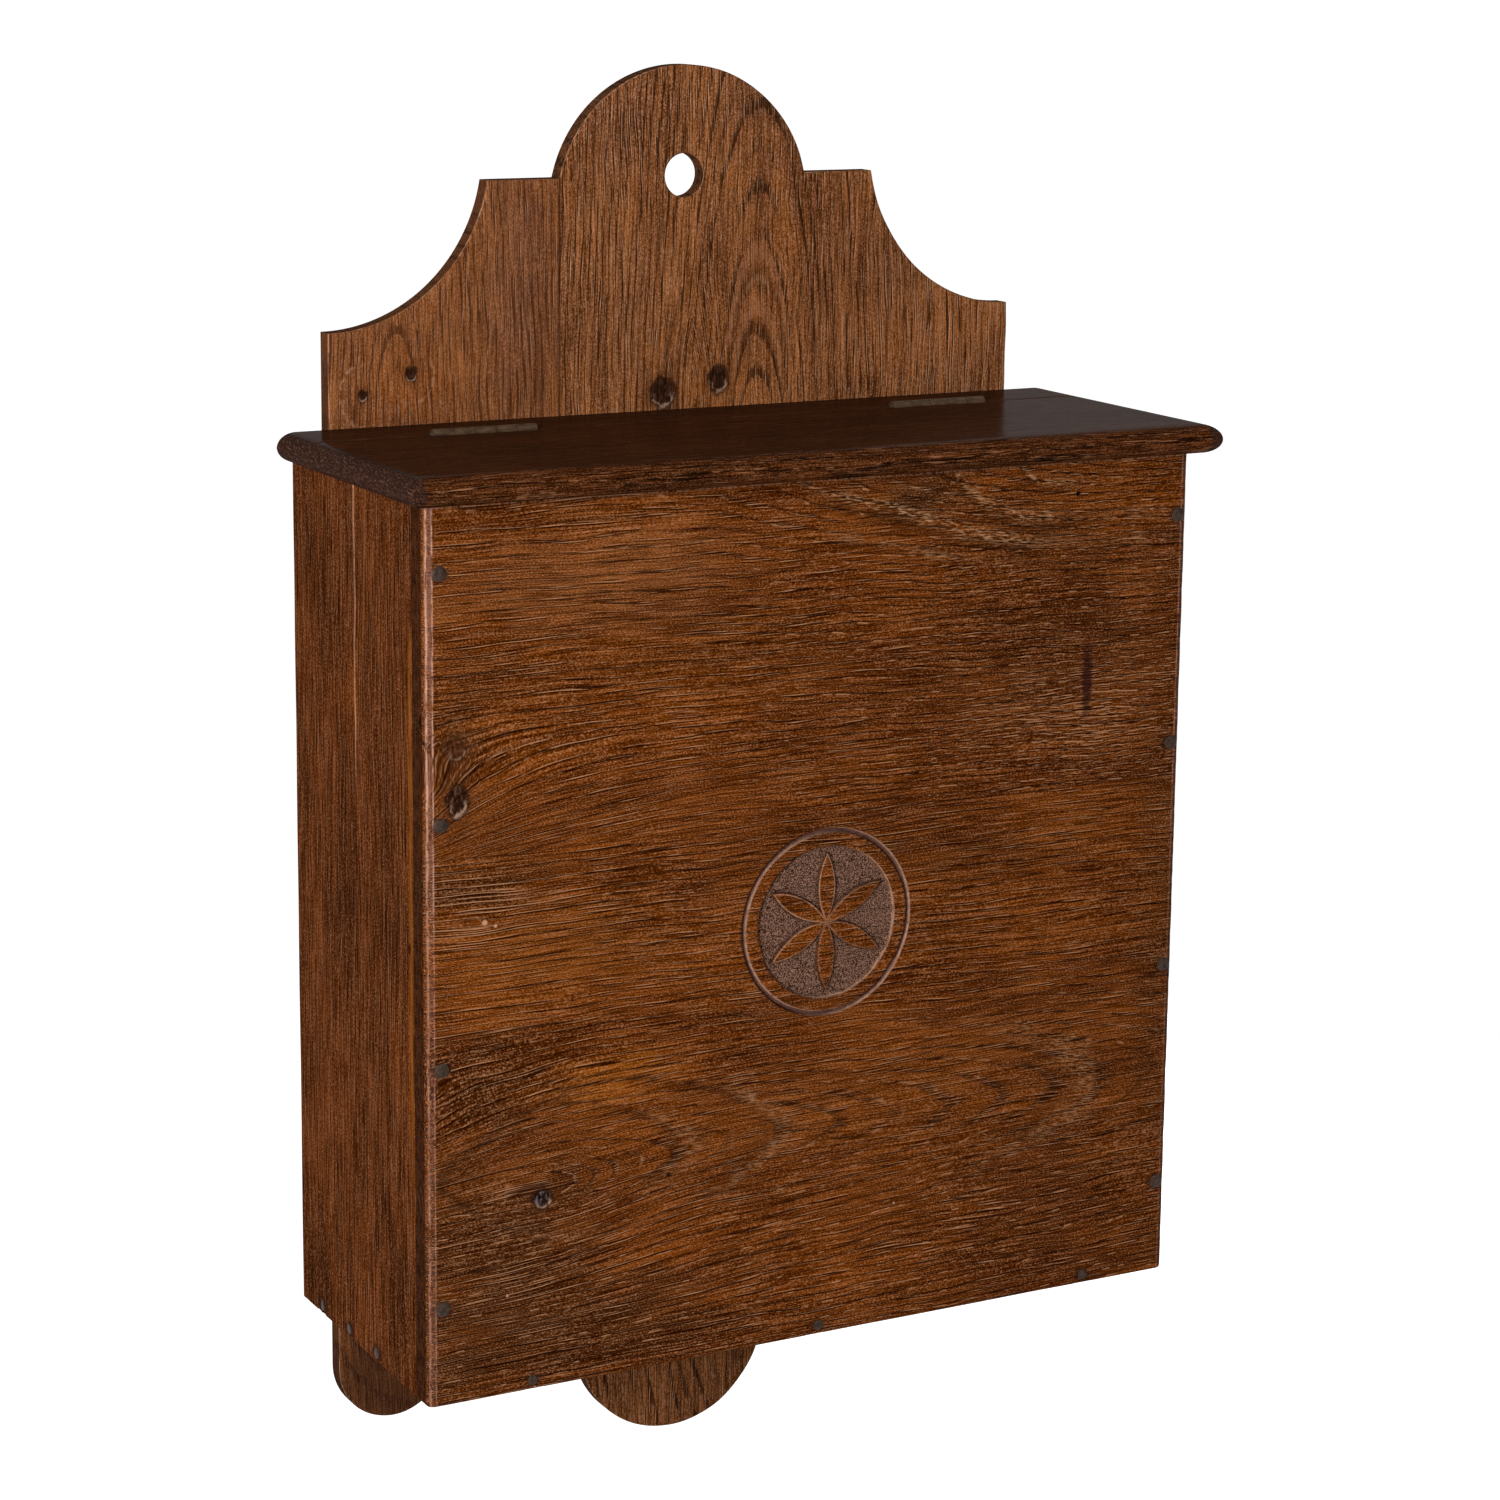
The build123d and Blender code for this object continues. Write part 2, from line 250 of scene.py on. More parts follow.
def rounded_section(u0, u1, thickness, radii, step):
    """A board's section: stations round its outline from the back's middle, with places and inward normals.

    radii are those of the arrises at back left, front left, front right and back right.
    """
    back_left, front_left, front_right, back_right = radii
    middle = (u0 + u1) / 2
    corners = [
        ((u0 + back_left, thickness - back_left), back_left, 90),
        ((u0 + front_left, front_left), front_left, 180),
        ((u1 - front_right, front_right), front_right, 270),
        ((u1 - back_right, thickness - back_right), back_right, 0),
    ]
    places = [(middle, thickness)]
    normals = [(0.0, -1.0)]
    for (cu, cw), radius, start in corners:
        count = 8 if radius > 1.5 else 3
        for i in range(count + 1):
            angle = math.radians(start + 90 * i / count)
            direction = (math.cos(angle), math.sin(angle))
            places.append((cu + radius * direction[0], cw + radius * direction[1]))
            normals.append((-direction[0], -direction[1]))
    places.append((middle, thickness))
    normals.append((0.0, -1.0))
    places = np.array(places)
    normals = np.array(normals)
    full_places = [places[:1]]
    full_normals = [normals[:1]]
    for a, b, na, nb in zip(places[:-1], places[1:], normals[:-1], normals[1:]):
        count = max(1, int(round(np.linalg.norm(b - a) / step)))
        share = (np.arange(count) + 1)[:, None] / count
        full_places.append(a + (b - a) * share)
        mixed = na + (nb - na) * share
        full_normals.append(mixed / np.linalg.norm(mixed, axis=1)[:, None])
    places = np.concatenate(full_places)
    normals = np.concatenate(full_normals)
    along = np.concatenate([[0], np.cumsum(np.linalg.norm(np.diff(places, axis=0), axis=1))])
    return along, places, normals


def board(size, radii, end_radii, spacing, to_frame, extra=None, relief=None, seed=1):
    """Points and faces of a straight board, unrolled round its section and triangulated.

    size is (u0, u1, v0, v1, thickness). extra are more points (u, v) on the outer face,
    and relief(points) gives how deep the outer face lies at (u, v).
    """
    u0, u1, v0, v1, thickness = size
    along, places, normals = rounded_section(u0, u1, thickness, radii, spacing * 1.4)
    front_start = np.interp(u0 + radii[1], places[:, 0][places[:, 1] < 1e-6], along[places[:, 1] < 1e-6])
    flat_left = u0 + radii[1]
    flat_right = u1 - radii[2]
    front_end = front_start + flat_right - flat_left
    low_end, high_end = end_radii
    ends = [0.0, 0.15, 0.5, 1.0]
    low_rows = [v0 + low_end * share for share in ends]
    high_rows = [v1 - high_end * share for share in reversed(ends)]
    count = max(2, int(round((high_rows[0] - low_rows[-1]) / spacing)))
    mid_rows = np.linspace(low_rows[-1], high_rows[0], count + 1)[1:-1]
    edge_rows = np.concatenate([low_rows[1:], high_rows[:-1]])
    on_front = (along > front_start + 1e-6) & (along < front_end - 1e-6)
    parts = [np.column_stack([along, np.full(len(along), v)]) for v in (v0, v1, *edge_rows)]
    parts += [np.column_stack([np.full(len(mid_rows), place), mid_rows]) for place in along[~on_front]]
    fine = np.zeros((0, 2))
    if extra is not None:
        fine = extra + np.array([front_start - flat_left, 0])
    filler = scattered(front_start, front_end, low_rows[-1], high_rows[0], spacing, seed)
    if len(fine):
        filler = clear_of(filler, fine, spacing * 0.45)
    parts += [filler, fine]
    flat = np.concatenate([part for part in parts if len(part)])
    flat = np.unique(np.round(flat, 5), axis=0)
    faces = triangulate(flat, [], lambda middles: np.ones(len(middles), bool))
    u, w, nu, nw = (np.interp(flat[:, 0], along, row) for row in (*places.T, *normals.T))
    v = flat[:, 1]
    inset = np.zeros(len(flat))
    for edge, radius, sign in ((v0, low_end, 1), (v1, high_end, -1)):
        near = np.clip(1 - sign * (v - edge) / max(radius, 1e-6), 0, 1)
        inset += radius * (1 - np.sqrt(1 - near ** 2))
    u = u + nu * inset
    w = w + nw * inset
    if relief is not None:
        w = w + relief(np.column_stack([u, v])) * smooth(nw, 0.3, 1.0)
    all_faces = [tuple(face) for face in faces]
    for edge in (v0, v1):
        row = np.where(np.abs(v - edge) < 1e-6)[0]
        row = row[np.argsort(flat[row, 0])]
        all_faces.append(tuple(row[:-1]))
    return to_frame(np.column_stack([u, v, w])), all_faces


def offset_loop(loop, distance):
    """A closed loop moved to its left by a distance at each point"""
    before = loop - np.roll(loop, 1, axis=0)
    after = np.roll(loop, -1, axis=0) - loop
    left = []
    for step in (before, after):
        step = step / np.linalg.norm(step, axis=1)[:, None]
        left.append(np.column_stack([-step[:, 1], step[:, 0]]))
    total = left[0] + left[1]
    total /= 1 + (left[0] * left[1]).sum(axis=1)[:, None]
    return loop + total * np.asarray(distance)[:, None]


def arris_rows(loop, radius, depth):
    """Rows of points round a loop's arris, from the face outwards; depth turns what lies below it into w"""
    rows = []
    for share in (0.0, 0.35, 0.7, 1.0):
        angle = share * math.pi / 2
        moved = offset_loop(loop, radius * (1 - math.sin(angle)))
        rows.append(np.column_stack([moved, depth(radius * (1 - math.cos(angle)))]))
    return rows


def plate(outline, holes, seats, thickness, front_round, back_round, spacing, to_frame, relief=None, seed=2):
    """Points and faces of a flat board of any outline, with through holes and blind seats in its back.

    front_round and back_round give the arris radius for loop points. seats are (u, v, radius, depth).
    """
    points = []
    faces = []
    total = 0
    front_loops = []
    back_loops = []
    for loop in [outline] + holes:
        front = front_round(loop)
        back = back_round(loop)
        rows = arris_rows(loop, front, lambda below: below)
        for share in (0.33, 0.67):
            rows.append(np.column_stack([loop, front + (thickness - back - front) * share]))
        rows += arris_rows(loop, back, lambda below: thickness - below)[::-1]
        count = len(loop)
        starts = [total + count * k for k in range(len(rows))]
        points += rows
        total += count * len(rows)
        faces += bridge(starts, count)
        front_loops.append((starts[0], rows[0][:, :2]))
        back_loops.append((starts[-1], rows[-1][:, :2]))
    for u, v, radius, depth in seats:
        sides = 20
        starts = []
        for grow, low in ((0.25, 0.0), (0.0, 0.12), (0.0, depth)):
            ring = on_circle(u, v, radius + grow, -turns(sides))
            starts.append(total)
            points.append(np.column_stack([ring, np.full(sides, thickness - low)]))
            total += sides
        faces += bridge(starts, sides)
        faces.append(tuple(range(starts[-1], starts[-1] + sides)))
        back_loops.append((starts[0], points[-3][:, :2]))
    low = outline.min(axis=0)
    high = outline.max(axis=0)
    for side, loops in (("front", front_loops), ("back", back_loops)):
        numbers = [np.arange(start, start + len(loop)) for start, loop in loops]
        rims = [loop for _, loop in loops]
        gap = spacing if side == "front" else spacing * 2

        def on_board(places):
            good = inside(places, rims[0])
            for rim in rims[1:]:
                good &= ~inside(places, rim)
            return good

        filler = scattered(low[0], high[0], low[1], high[1], gap, seed)
        filler = clear_of(filler[on_board(filler)], np.concatenate(rims), gap * 0.5)
        ends = np.cumsum([len(rim) for rim in rims])
        local = [np.arange(end - len(rim), end) for end, rim in zip(ends, rims)]
        found = triangulate(np.concatenate(rims + [filler]), local, on_board)
        depth = 0.0 if side == "front" else thickness
        points.append(np.column_stack([filler, np.full(len(filler), depth)]))
        table = np.concatenate(numbers + [np.arange(total, total + len(filler))])
        total += len(filler)
        faces += [tuple(face) for face in table[found]]
    points = np.concatenate(points)
    if relief is not None:
        top = 1 - np.clip(points[:, 2] / thickness, 0, 1)
        points[:, 2] += relief(points[:, :2]) * top
    return to_frame(points), faces


def front_frame(points):
    """From the front board's own frame"""
    return np.column_stack([points[:, 0], FRONT_Y + points[:, 2], points[:, 1]])


def back_frame(points):
    """From the back board's own frame"""
    return np.column_stack([points[:, 0], -BACK_BOARD + points[:, 2], points[:, 1]])


def side_frame(side):
    """From a side board's own frame, left (-1) or right (+1)"""

    def place(points):
        return np.column_stack([side * (HALF_WIDTH - points[:, 2]), side * points[:, 0], points[:, 1]])

    return place


def flat_frame(z):
    """From the frame of a level board with its upper face at z"""

    def place(points):
        return np.column_stack([points[:, 0], points[:, 1], z - points[:, 2]])

    return place


def arc(cu, cv, radius, start, end, count):
    """Points of an arc, from one angle to another in degrees"""
    return on_circle(cu, cv, radius, np.radians(np.linspace(start, end, count)))


def line(a, b, step):
    """Points from a to just before b"""
    a = np.array(a, float)
    b = np.array(b, float)
    count = max(1, int(round(np.linalg.norm(b - a) / step)))
    share = np.arange(count)[:, None] / count
    return a + (b - a) * share


def petal_distance(points):
    """How far a place lies outside the carved petals and hub, negative inside them"""
    x, z = (points - ROUNDEL).T
    radius = np.hypot(x, z)
    angle = np.arctan2(z, x) - math.pi / 2
    off = np.abs((angle + PETAL_TURN / 2) % PETAL_TURN - PETAL_TURN / 2)
    across = radius * np.sin(off)
    out = radius * np.cos(off)
    to_arc = np.hypot(out - PETAL_LENGTH / 2, across + PETAL_SIDE) - PETAL_LENGTH
    return np.minimum(to_arc, radius - HUB_RADIUS)


def roundel_depth(points):
    """How deep the carver went at places (u, v) of the front face"""
    radius = np.hypot(*(points - ROUNDEL).T)
    wobble = 0.10 * waves(points, 14, 11)
    outside = petal_distance(points) + wobble
    wall = smooth(outside, 0.0, 0.55) * smooth(GROUND_RADIUS - radius + wobble, 0.0, 0.5)
    dots = waves(points, 1.5, 12, 14) * 0.09 + waves(points, 2.6, 13, 10) * 0.05
    ground = (GROUND_DEPTH - 0.25 + dots) * wall
    soft = 0.22 * smooth(outside, -1.3, 0.1) * (outside < 0.6) * (radius < GROUND_RADIUS)
    across = (radius - (RING_INNER + RING_OUTER) / 2 + 0.4 * wobble) / ((RING_OUTER - RING_INNER) / 2)
    groove = RING_DEPTH * np.sqrt(np.clip(1 - across ** 2, 0, 1)) * (0.9 + 0.1 * waves(points, 18, 14))
    rim = 0.12 * np.exp(-((radius - GROUND_RADIUS - 0.4) / 0.8) ** 2)
    return np.maximum(np.maximum(ground, soft), np.maximum(groove, rim))


def roundel_points():
    """Close points over the roundel, closer along the ring and the petals' outlines"""
    spans = ((0.4, 31.6, 0.62), (31.9, 36.4, 0.9), (36.5, 39.1, 0.2), (39.6, 42.0, 0.8))
    grid = [np.array([ROUNDEL])]
    for radius in np.concatenate([np.arange(*span) for span in spans]):
        grid.append(rings(*ROUNDEL, (radius,), 0.62 if radius < 32 else 0.7, 0.7))
    grid = np.concatenate(grid)
    near = np.abs(petal_distance(grid) - 0.2) < 0.65
    keep = grid[~(near & (np.hypot(*(grid - ROUNDEL).T) < 31.2))]
    edges = np.concatenate([petal_outline(offset) for offset in (-0.45, -0.1, 0.12, 0.33, 0.55, 0.85)])
    edges = edges[np.hypot(*(edges - ROUNDEL).T) < GROUND_RADIUS]
    keep = clear_of(keep, edges, 0.24)
    return np.concatenate([keep, edges])


def petal_outline(offset):
    """Points along the outline of the six petals and the hub, moved out by an offset"""
    angles = np.linspace(0, 2 * math.pi, 60, endpoint=False)
    found = [on_circle(*ROUNDEL, HUB_RADIUS + offset, angles)]
    reach = PETAL_LENGTH + offset
    angles = np.linspace(0, PETAL_TURN, 70) + PETAL_TURN
    out = PETAL_LENGTH / 2 - reach * np.cos(angles)
    for i in range(6):
        axis = math.pi / 2 + i * PETAL_TURN
        for side in (-1, 1):
            across = side * (reach * np.sin(angles) - PETAL_SIDE)
            u = out * math.cos(axis) - across * math.sin(axis)
            v = out * math.sin(axis) + across * math.cos(axis)
            found.append(np.column_stack([u, v]) + ROUNDEL)
    found = np.concatenate(found)
    return found[np.abs(petal_distance(found) - offset) < 0.02]


# Knots and marks on the front board, read from the photograph: place, size and depth
FRONT_KNOTS = (
    (-157.0, -221.0, 5.0, 0.5),
    (-157.5, -201.0, 4.0, 0.2),
    (-122.0, -383.0, 4.6, 0.7),
    (-67.0, -382.0, 1.6, 0.3),
)
WORM_HOLE = (116.3, -122.3, 1.1, 1.6)
FRONT_CHIPS = ((-146.0, -269.5, 1.5), (-141.5, -271.2, 1.0), (-137.0, -420.0, 0.8), (36.0, -410.0, 0.7))


def front_relief(points):
    """Dents of the front face: hand planing, knots, nails and the roundel"""
    deep = 0.10 + 0.07 * waves(points, 90, 21)
    deep += 0.035 * waves(points * (0.25, 1.0), 9, 22)
    for u, v, radius, depth in FRONT_KNOTS + (WORM_HOLE,):
        deep += depth * dent(points, u, v, radius * 0.35, radius)
    for place in FRONT_NAILS:
        deep += 0.35 * dent(points, *place, 3.0, 4.6)
    for place in BOTTOM_NAILS:
        deep += 0.35 * dent(points, *place, 2.2, 3.6)
    near = np.hypot(*(points - ROUNDEL).T) < 42
    carved = np.zeros(len(points))
    carved[near] = roundel_depth(points[near])
    return np.clip(deep, 0.0, 3.0) + carved


def front_extra(v0, v1):
    """Close points on the front face between two levels"""
    sets = [roundel_points()]
    for u, v, radius, _ in FRONT_KNOTS + (WORM_HOLE,):
        sets.append(rings(u, v, np.linspace(0.15, 1.3, 7) * radius, radius * 0.35))
    sets += [rings(*place, (1.5, 2.6, 3.2, 3.7, 4.2, 4.8), 1.0) for place in FRONT_NAILS]
    sets += [rings(*place, (1.2, 2.1, 2.6, 3.1, 3.5), 0.9) for place in BOTTOM_NAILS]
    points = np.concatenate(sets)
    inner = HALF_WIDTH - ARRIS - 0.3
    fits = (np.abs(points[:, 0]) < inner) & (points[:, 1] > v0 + 1.2) & (points[:, 1] < v1 - 0.6)
    return points[fits]


def front_boards(material):
    """The two glued boards of the front"""
    levels = {
        "front_board_upper": (JOINT_Z, CASE_TOP_Z, (0.12, 0.6)),
        "front_board_lower": (UNDERSIDE_Z, JOINT_Z, (0.9, 0.12)),
    }
    for node, (v0, v1, ends) in levels.items():
        size = (-HALF_WIDTH, HALF_WIDTH, v0, v1, FRONT_BOARD)
        radii = (0.4, ARRIS, ARRIS, 0.4)
        extra = front_extra(v0, v1)
        points, faces = board(size, radii, ends, 3.0, front_frame, extra, front_relief)
        points = worn_front(points)
        new_piece(node + "_worn", points, faces, material, "front_oak", "case", node)


def worn_front(points):
    """Waver and knocks along the front board's upright arrises"""
    moved = points.copy()
    for side in (-1, 1):
        to_edge = HALF_WIDTH - side * points[:, 0]
        arris = np.exp(-(to_edge / 2.2) ** 2) * np.exp(-((points[:, 1] - FRONT_Y) / 2.2) ** 2)
        share = 1.0 if side < 0 else 0.25
        knock = 0.28 * waves(points[:, 2:3], 26, 31 + side) + 0.16 * waves(points[:, 2:3], 7, 33 + side)
        depth = np.clip(0.30 + knock, 0.0, 1.0) * arris
        moved[:, 0] -= side * depth * 0.7 * share
        moved[:, 1] += depth * 0.7 * share
    return moved


def side_relief(side):
    """The outer face of a side board: planing marks, its drying crack and nail dents"""

    def deep(points):
        found = 0.06 + 0.05 * waves(points, 70, 41 + side)
        for y in SIDE_NAIL_Y:
            found += 0.3 * dent(points, side * y, LOW_NAIL_Z, 2.2, 3.8)
        if side < 0:
            found += crack_depth(points)
        return np.clip(found, 0, 2)

    return deep


CRACK_U = 63.4
CRACK_END_Z = -236.0


def crack_line(v):
    """Where the crack in the left side board runs, for levels v"""
    return CRACK_U + 0.25 * np.sin(v / 9.0) + 0.15 * np.sin(v / 3.7)


def crack_depth(points):
    """Depth of the crack, open at the top and closing downwards"""
    open_share = smooth(points[:, 1], CRACK_END_Z, CASE_TOP_Z - 40)
    half = 0.25 + 0.35 * open_share
    away = np.abs(points[:, 0] - crack_line(points[:, 1]))
    near = (1 - smooth(away, half * 0.3, half * 1.6)) * (points[:, 1] > CRACK_END_Z)
    return 0.9 * (0.35 + 0.65 * open_share) * near


def side_boards(material):
    """The two side boards with upright grain"""
    for side, node in ((-1, "left_side_board"), (1, "right_side_board")):
        front_end = FRONT_Y + FRONT_BOARD
        u0, u1 = sorted((0.0, side * front_end))
        size = (u0, u1, UNDERSIDE_Z, CASE_TOP_Z, SIDE_BOARD)
        sets = []
        for y in SIDE_NAIL_Y:
            sets.append(rings(side * y, LOW_NAIL_Z, (1.2, 2.1, 2.6, 3.1, 3.6), 0.9))
        if side < 0:
            levels = np.arange(CRACK_END_Z - 2, CASE_TOP_Z - 1.5, 1.6)
            for shift in (-1.3, -0.8, -0.4, 0.0, 0.4, 0.8, 1.3):
                sets.append(np.column_stack([crack_line(levels) + shift, levels]))
        extra = np.concatenate(sets)
        extra = extra[extra[:, 1] > UNDERSIDE_Z + 1.1]
        shape = (size, (0.5,) * 4, (0.8, 0.5), 3.5)
        points, faces = board(*shape, side_frame(side), extra, side_relief(side), 5)
        piece = new_piece(node + "_worn", points, faces, material, "side_oak", "case", node)
        low = (side * (INNER_HALF + BOTTOM_LAP), FRONT_Y + FRONT_BOARD - 1, UNDERSIDE_Z - 1)
        high = (side * (INNER_HALF - 1.0), -BACK_BOARD, UNDERSIDE_Z + BOTTOM_BOARD)
        cut(piece, [box_points(low, high)])


def box_points(a, b):
    """Points and faces of a plain box, to cut with"""
    (x0, y0, z0), (x1, y1, z1) = np.minimum(a, b), np.maximum(a, b)
    points = [(x, y, z) for x in (x0, x1) for y in (y0, y1) for z in (z0, z1)]
    faces = [(0, 1, 3, 2), (4, 6, 7, 5), (0, 4, 5, 1), (2, 3, 7, 6), (0, 2, 6, 4), (1, 5, 7, 3)]
    return np.array(points), faces


def rod_points(x, y, z, radius, length, count=40):
    """Points and faces of a rod along X, to cut with"""
    circle = on_circle(y, z, radius, turns(count))
    rows = [np.column_stack([np.full(count, x + end), circle]) for end in (-length / 2, length / 2)]
    faces = [tuple(range(count)), tuple(range(2 * count - 1, count - 1, -1))]
    return np.concatenate(rows), faces + bridge((0, count), count)


def cut(piece, shapes):
    """Takes shapes out of a piece for good"""
    for points, faces in shapes:
        mesh = clean_mesh("cutter", points, faces, False)
        cutter = linked("cutter", mesh)
        change = piece.modifiers.new("cut", "BOOLEAN")
        change.operation = "DIFFERENCE"
        change.solver = "EXACT"
        change.object = cutter
        bpy.context.view_layer.update()
        seen = piece.evaluated_get(bpy.context.evaluated_depsgraph_get())
        made = bpy.data.meshes.new_from_object(seen)
        old = piece.data
        piece.modifiers.clear()
        made.name = old.name
        piece.data = made
        bpy.data.meshes.remove(old)
        bpy.data.objects.remove(cutter)
        bpy.data.meshes.remove(mesh)
    shade(piece.data)


def bottom_board_piece(material):
    """The bottom board between the sides"""
    half = INNER_HALF + BOTTOM_LAP
    size = (-half, half, FRONT_Y + FRONT_BOARD, -BACK_BOARD, BOTTOM_BOARD)
    upper = flat_frame(UNDERSIDE_Z + BOTTOM_BOARD)
    points, faces = board(size, (0.3,) * 4, (0.3, 0.3), 9.0, upper, None, None, 6)
    new_piece("bottom_board_plain", points, faces, material, "bottom_oak", "case", "bottom_board")


def back_outline(left, right):
    """The outline of the back board between two places, anticlockwise from the lower left"""
    half = INNER_HALF
    crest_r, crest_z = 58.0, -13.0
    scoop_r, scoop_z = 70.0, 11.5
    lobe_r, corner_z = 24.0, UNDERSIDE_Z - 32.0
    mid_x, mid_r, mid_z = -2.0, 44.5, UNDERSIDE_Z - 41.0
    notch_z = UNDERSIDE_Z - 14.0
    foot = math.degrees(math.asin(-crest_z / crest_r))
    lean = math.degrees(math.asin(scoop_z / scoop_r))
    crest_x = crest_r * math.cos(math.radians(foot)) + 1
    scoop_x = half - scoop_r * math.cos(math.radians(lean)) - 1
    steps = 2.2
    lobe_count = 40
    whole = [
        arc(-half + lobe_r, corner_z, lobe_r, 180, 360, lobe_count),
        line((-half + 2 * lobe_r, corner_z + steps), (-half + 2 * lobe_r, notch_z), steps),
        line((-half + 2 * lobe_r, notch_z), (mid_x - mid_r, notch_z), steps),
        line((mid_x - mid_r, notch_z), (mid_x - mid_r, mid_z), steps),
        arc(mid_x, mid_z, mid_r, 180, 360, 70),
        line((mid_x + mid_r, mid_z + steps), (mid_x + mid_r, notch_z), steps),
        line((mid_x + mid_r, notch_z), (half - 2 * lobe_r, notch_z), steps),
        line((half - 2 * lobe_r, notch_z), (half - 2 * lobe_r, corner_z), steps),
        arc(half - lobe_r, corner_z, lobe_r, 180, 360, lobe_count),
        line((half, corner_z + steps), (half, scoop_z - scoop_r), steps * 2),
        arc(half, scoop_z, scoop_r, 270, 180 + lean, 50),
        line((scoop_x, 0), (crest_x, 0), steps),
        arc(0, crest_z, crest_r, foot, 180 - foot, 80),
        line((-crest_x, 0), (-scoop_x, 0), steps),
        arc(-half, scoop_z, scoop_r, 360 - lean, 270, 50),
        line((-half, scoop_z - scoop_r - steps), (-half, corner_z + steps), steps * 2),
    ]
    loop = np.concatenate(whole)
    if left > -half - 1:
        loop = clipped(loop, left, 1)
    if right < half + 1:
        loop = clipped(loop, right, -1)
    keep = np.linalg.norm(loop - np.roll(loop, 1, axis=0), axis=1) > 0.05
    return loop[keep]


def clipped(loop, limit, sign):
    """The part of a closed loop on one side of u = limit, closed along that line"""
    kept = []
    for a, b in zip(loop, np.roll(loop, -1, axis=0)):
        a_in = sign * (a[0] - limit) >= 0
        b_in = sign * (b[0] - limit) >= 0
        if a_in:
            kept.append(a)
        if a_in != b_in:
            share = (limit - a[0]) / (b[0] - a[0])
            kept.append(a + (b - a) * share)
    kept = np.array(kept)
    filled = []
    for a, b in zip(kept, np.roll(kept, -1, axis=0)):
        on_limit = max(abs(a[0] - limit), abs(b[0] - limit)) < 1e-6
        filled.append(line(a, b, 4.0) if on_limit else a[None, :])
    return np.concatenate(filled)


# Knots of the back board's face, read from the photograph: place, size and depth
BACK_KNOTS = (
    (-122.5, -76.5, 2.4, 0.2),
    (-143.3, -84.0, 2.0, 0.2),
    (16.5, -85.0, 4.4, 0.25),
    (-10.0, -89.5, 5.2, 0.2),
)


def back_front_arris(loop):
    """The arris radius along the back board's face: worn outside, even in the hole, sharp at the glue line"""
    seam = np.abs(loop[:, 0] - GLUE_X) < 0.01
    worn = 0.75 + 0.25 * waves(loop, 30, 51)
    hole = np.hypot(*loop.T) < HOLE_RADIUS + 0.5
    return np.where(seam, 0.12, np.where(hole, 0.6, np.clip(worn, 0.35, 1.2)))


def back_rear_arris(loop):
    """The arris radius along the back board's rear"""
    return np.where(np.abs(loop[:, 0] - GLUE_X) < 0.01, 0.12, 0.5)


def back_relief(points):
    """Dents of the back board's face: hand planing and knots"""
    deep = 0.06 + 0.05 * waves(points, 80, 52)
    for u, v, radius, depth in BACK_KNOTS:
        deep += depth * dent(points, u, v, radius * 0.35, radius)
    return np.clip(deep, 0, 1)


def back_boards(material):
    """The two glued boards of the back"""
    half = INNER_HALF
    for node, left, right in (("back_board_narrow", -half, GLUE_X), ("back_board_wide", GLUE_X, half)):
        outline = back_outline(left - 2 if left == -half else left, right + 2 if right == half else right)
        holes = []
        if left < 0 < right:
            holes.append(arc(0, 0, HOLE_RADIUS, 360, 0, 49)[:-1])
        seats = []
        for z in BACK_NAIL_Z.values():
            seats += [(x, z, 2.6, 1.2) for x in BACK_NAIL_X if left < x < right]
        rounds = (back_front_arris, back_rear_arris)
        points, faces = plate(outline, holes, seats, BACK_BOARD, *rounds, 4.0, back_frame, back_relief)
        points[:, 1] = np.minimum(points[:, 1], 0.0)
        new_piece(node + "_worn", points, faces, material, "back_oak", "case", node)


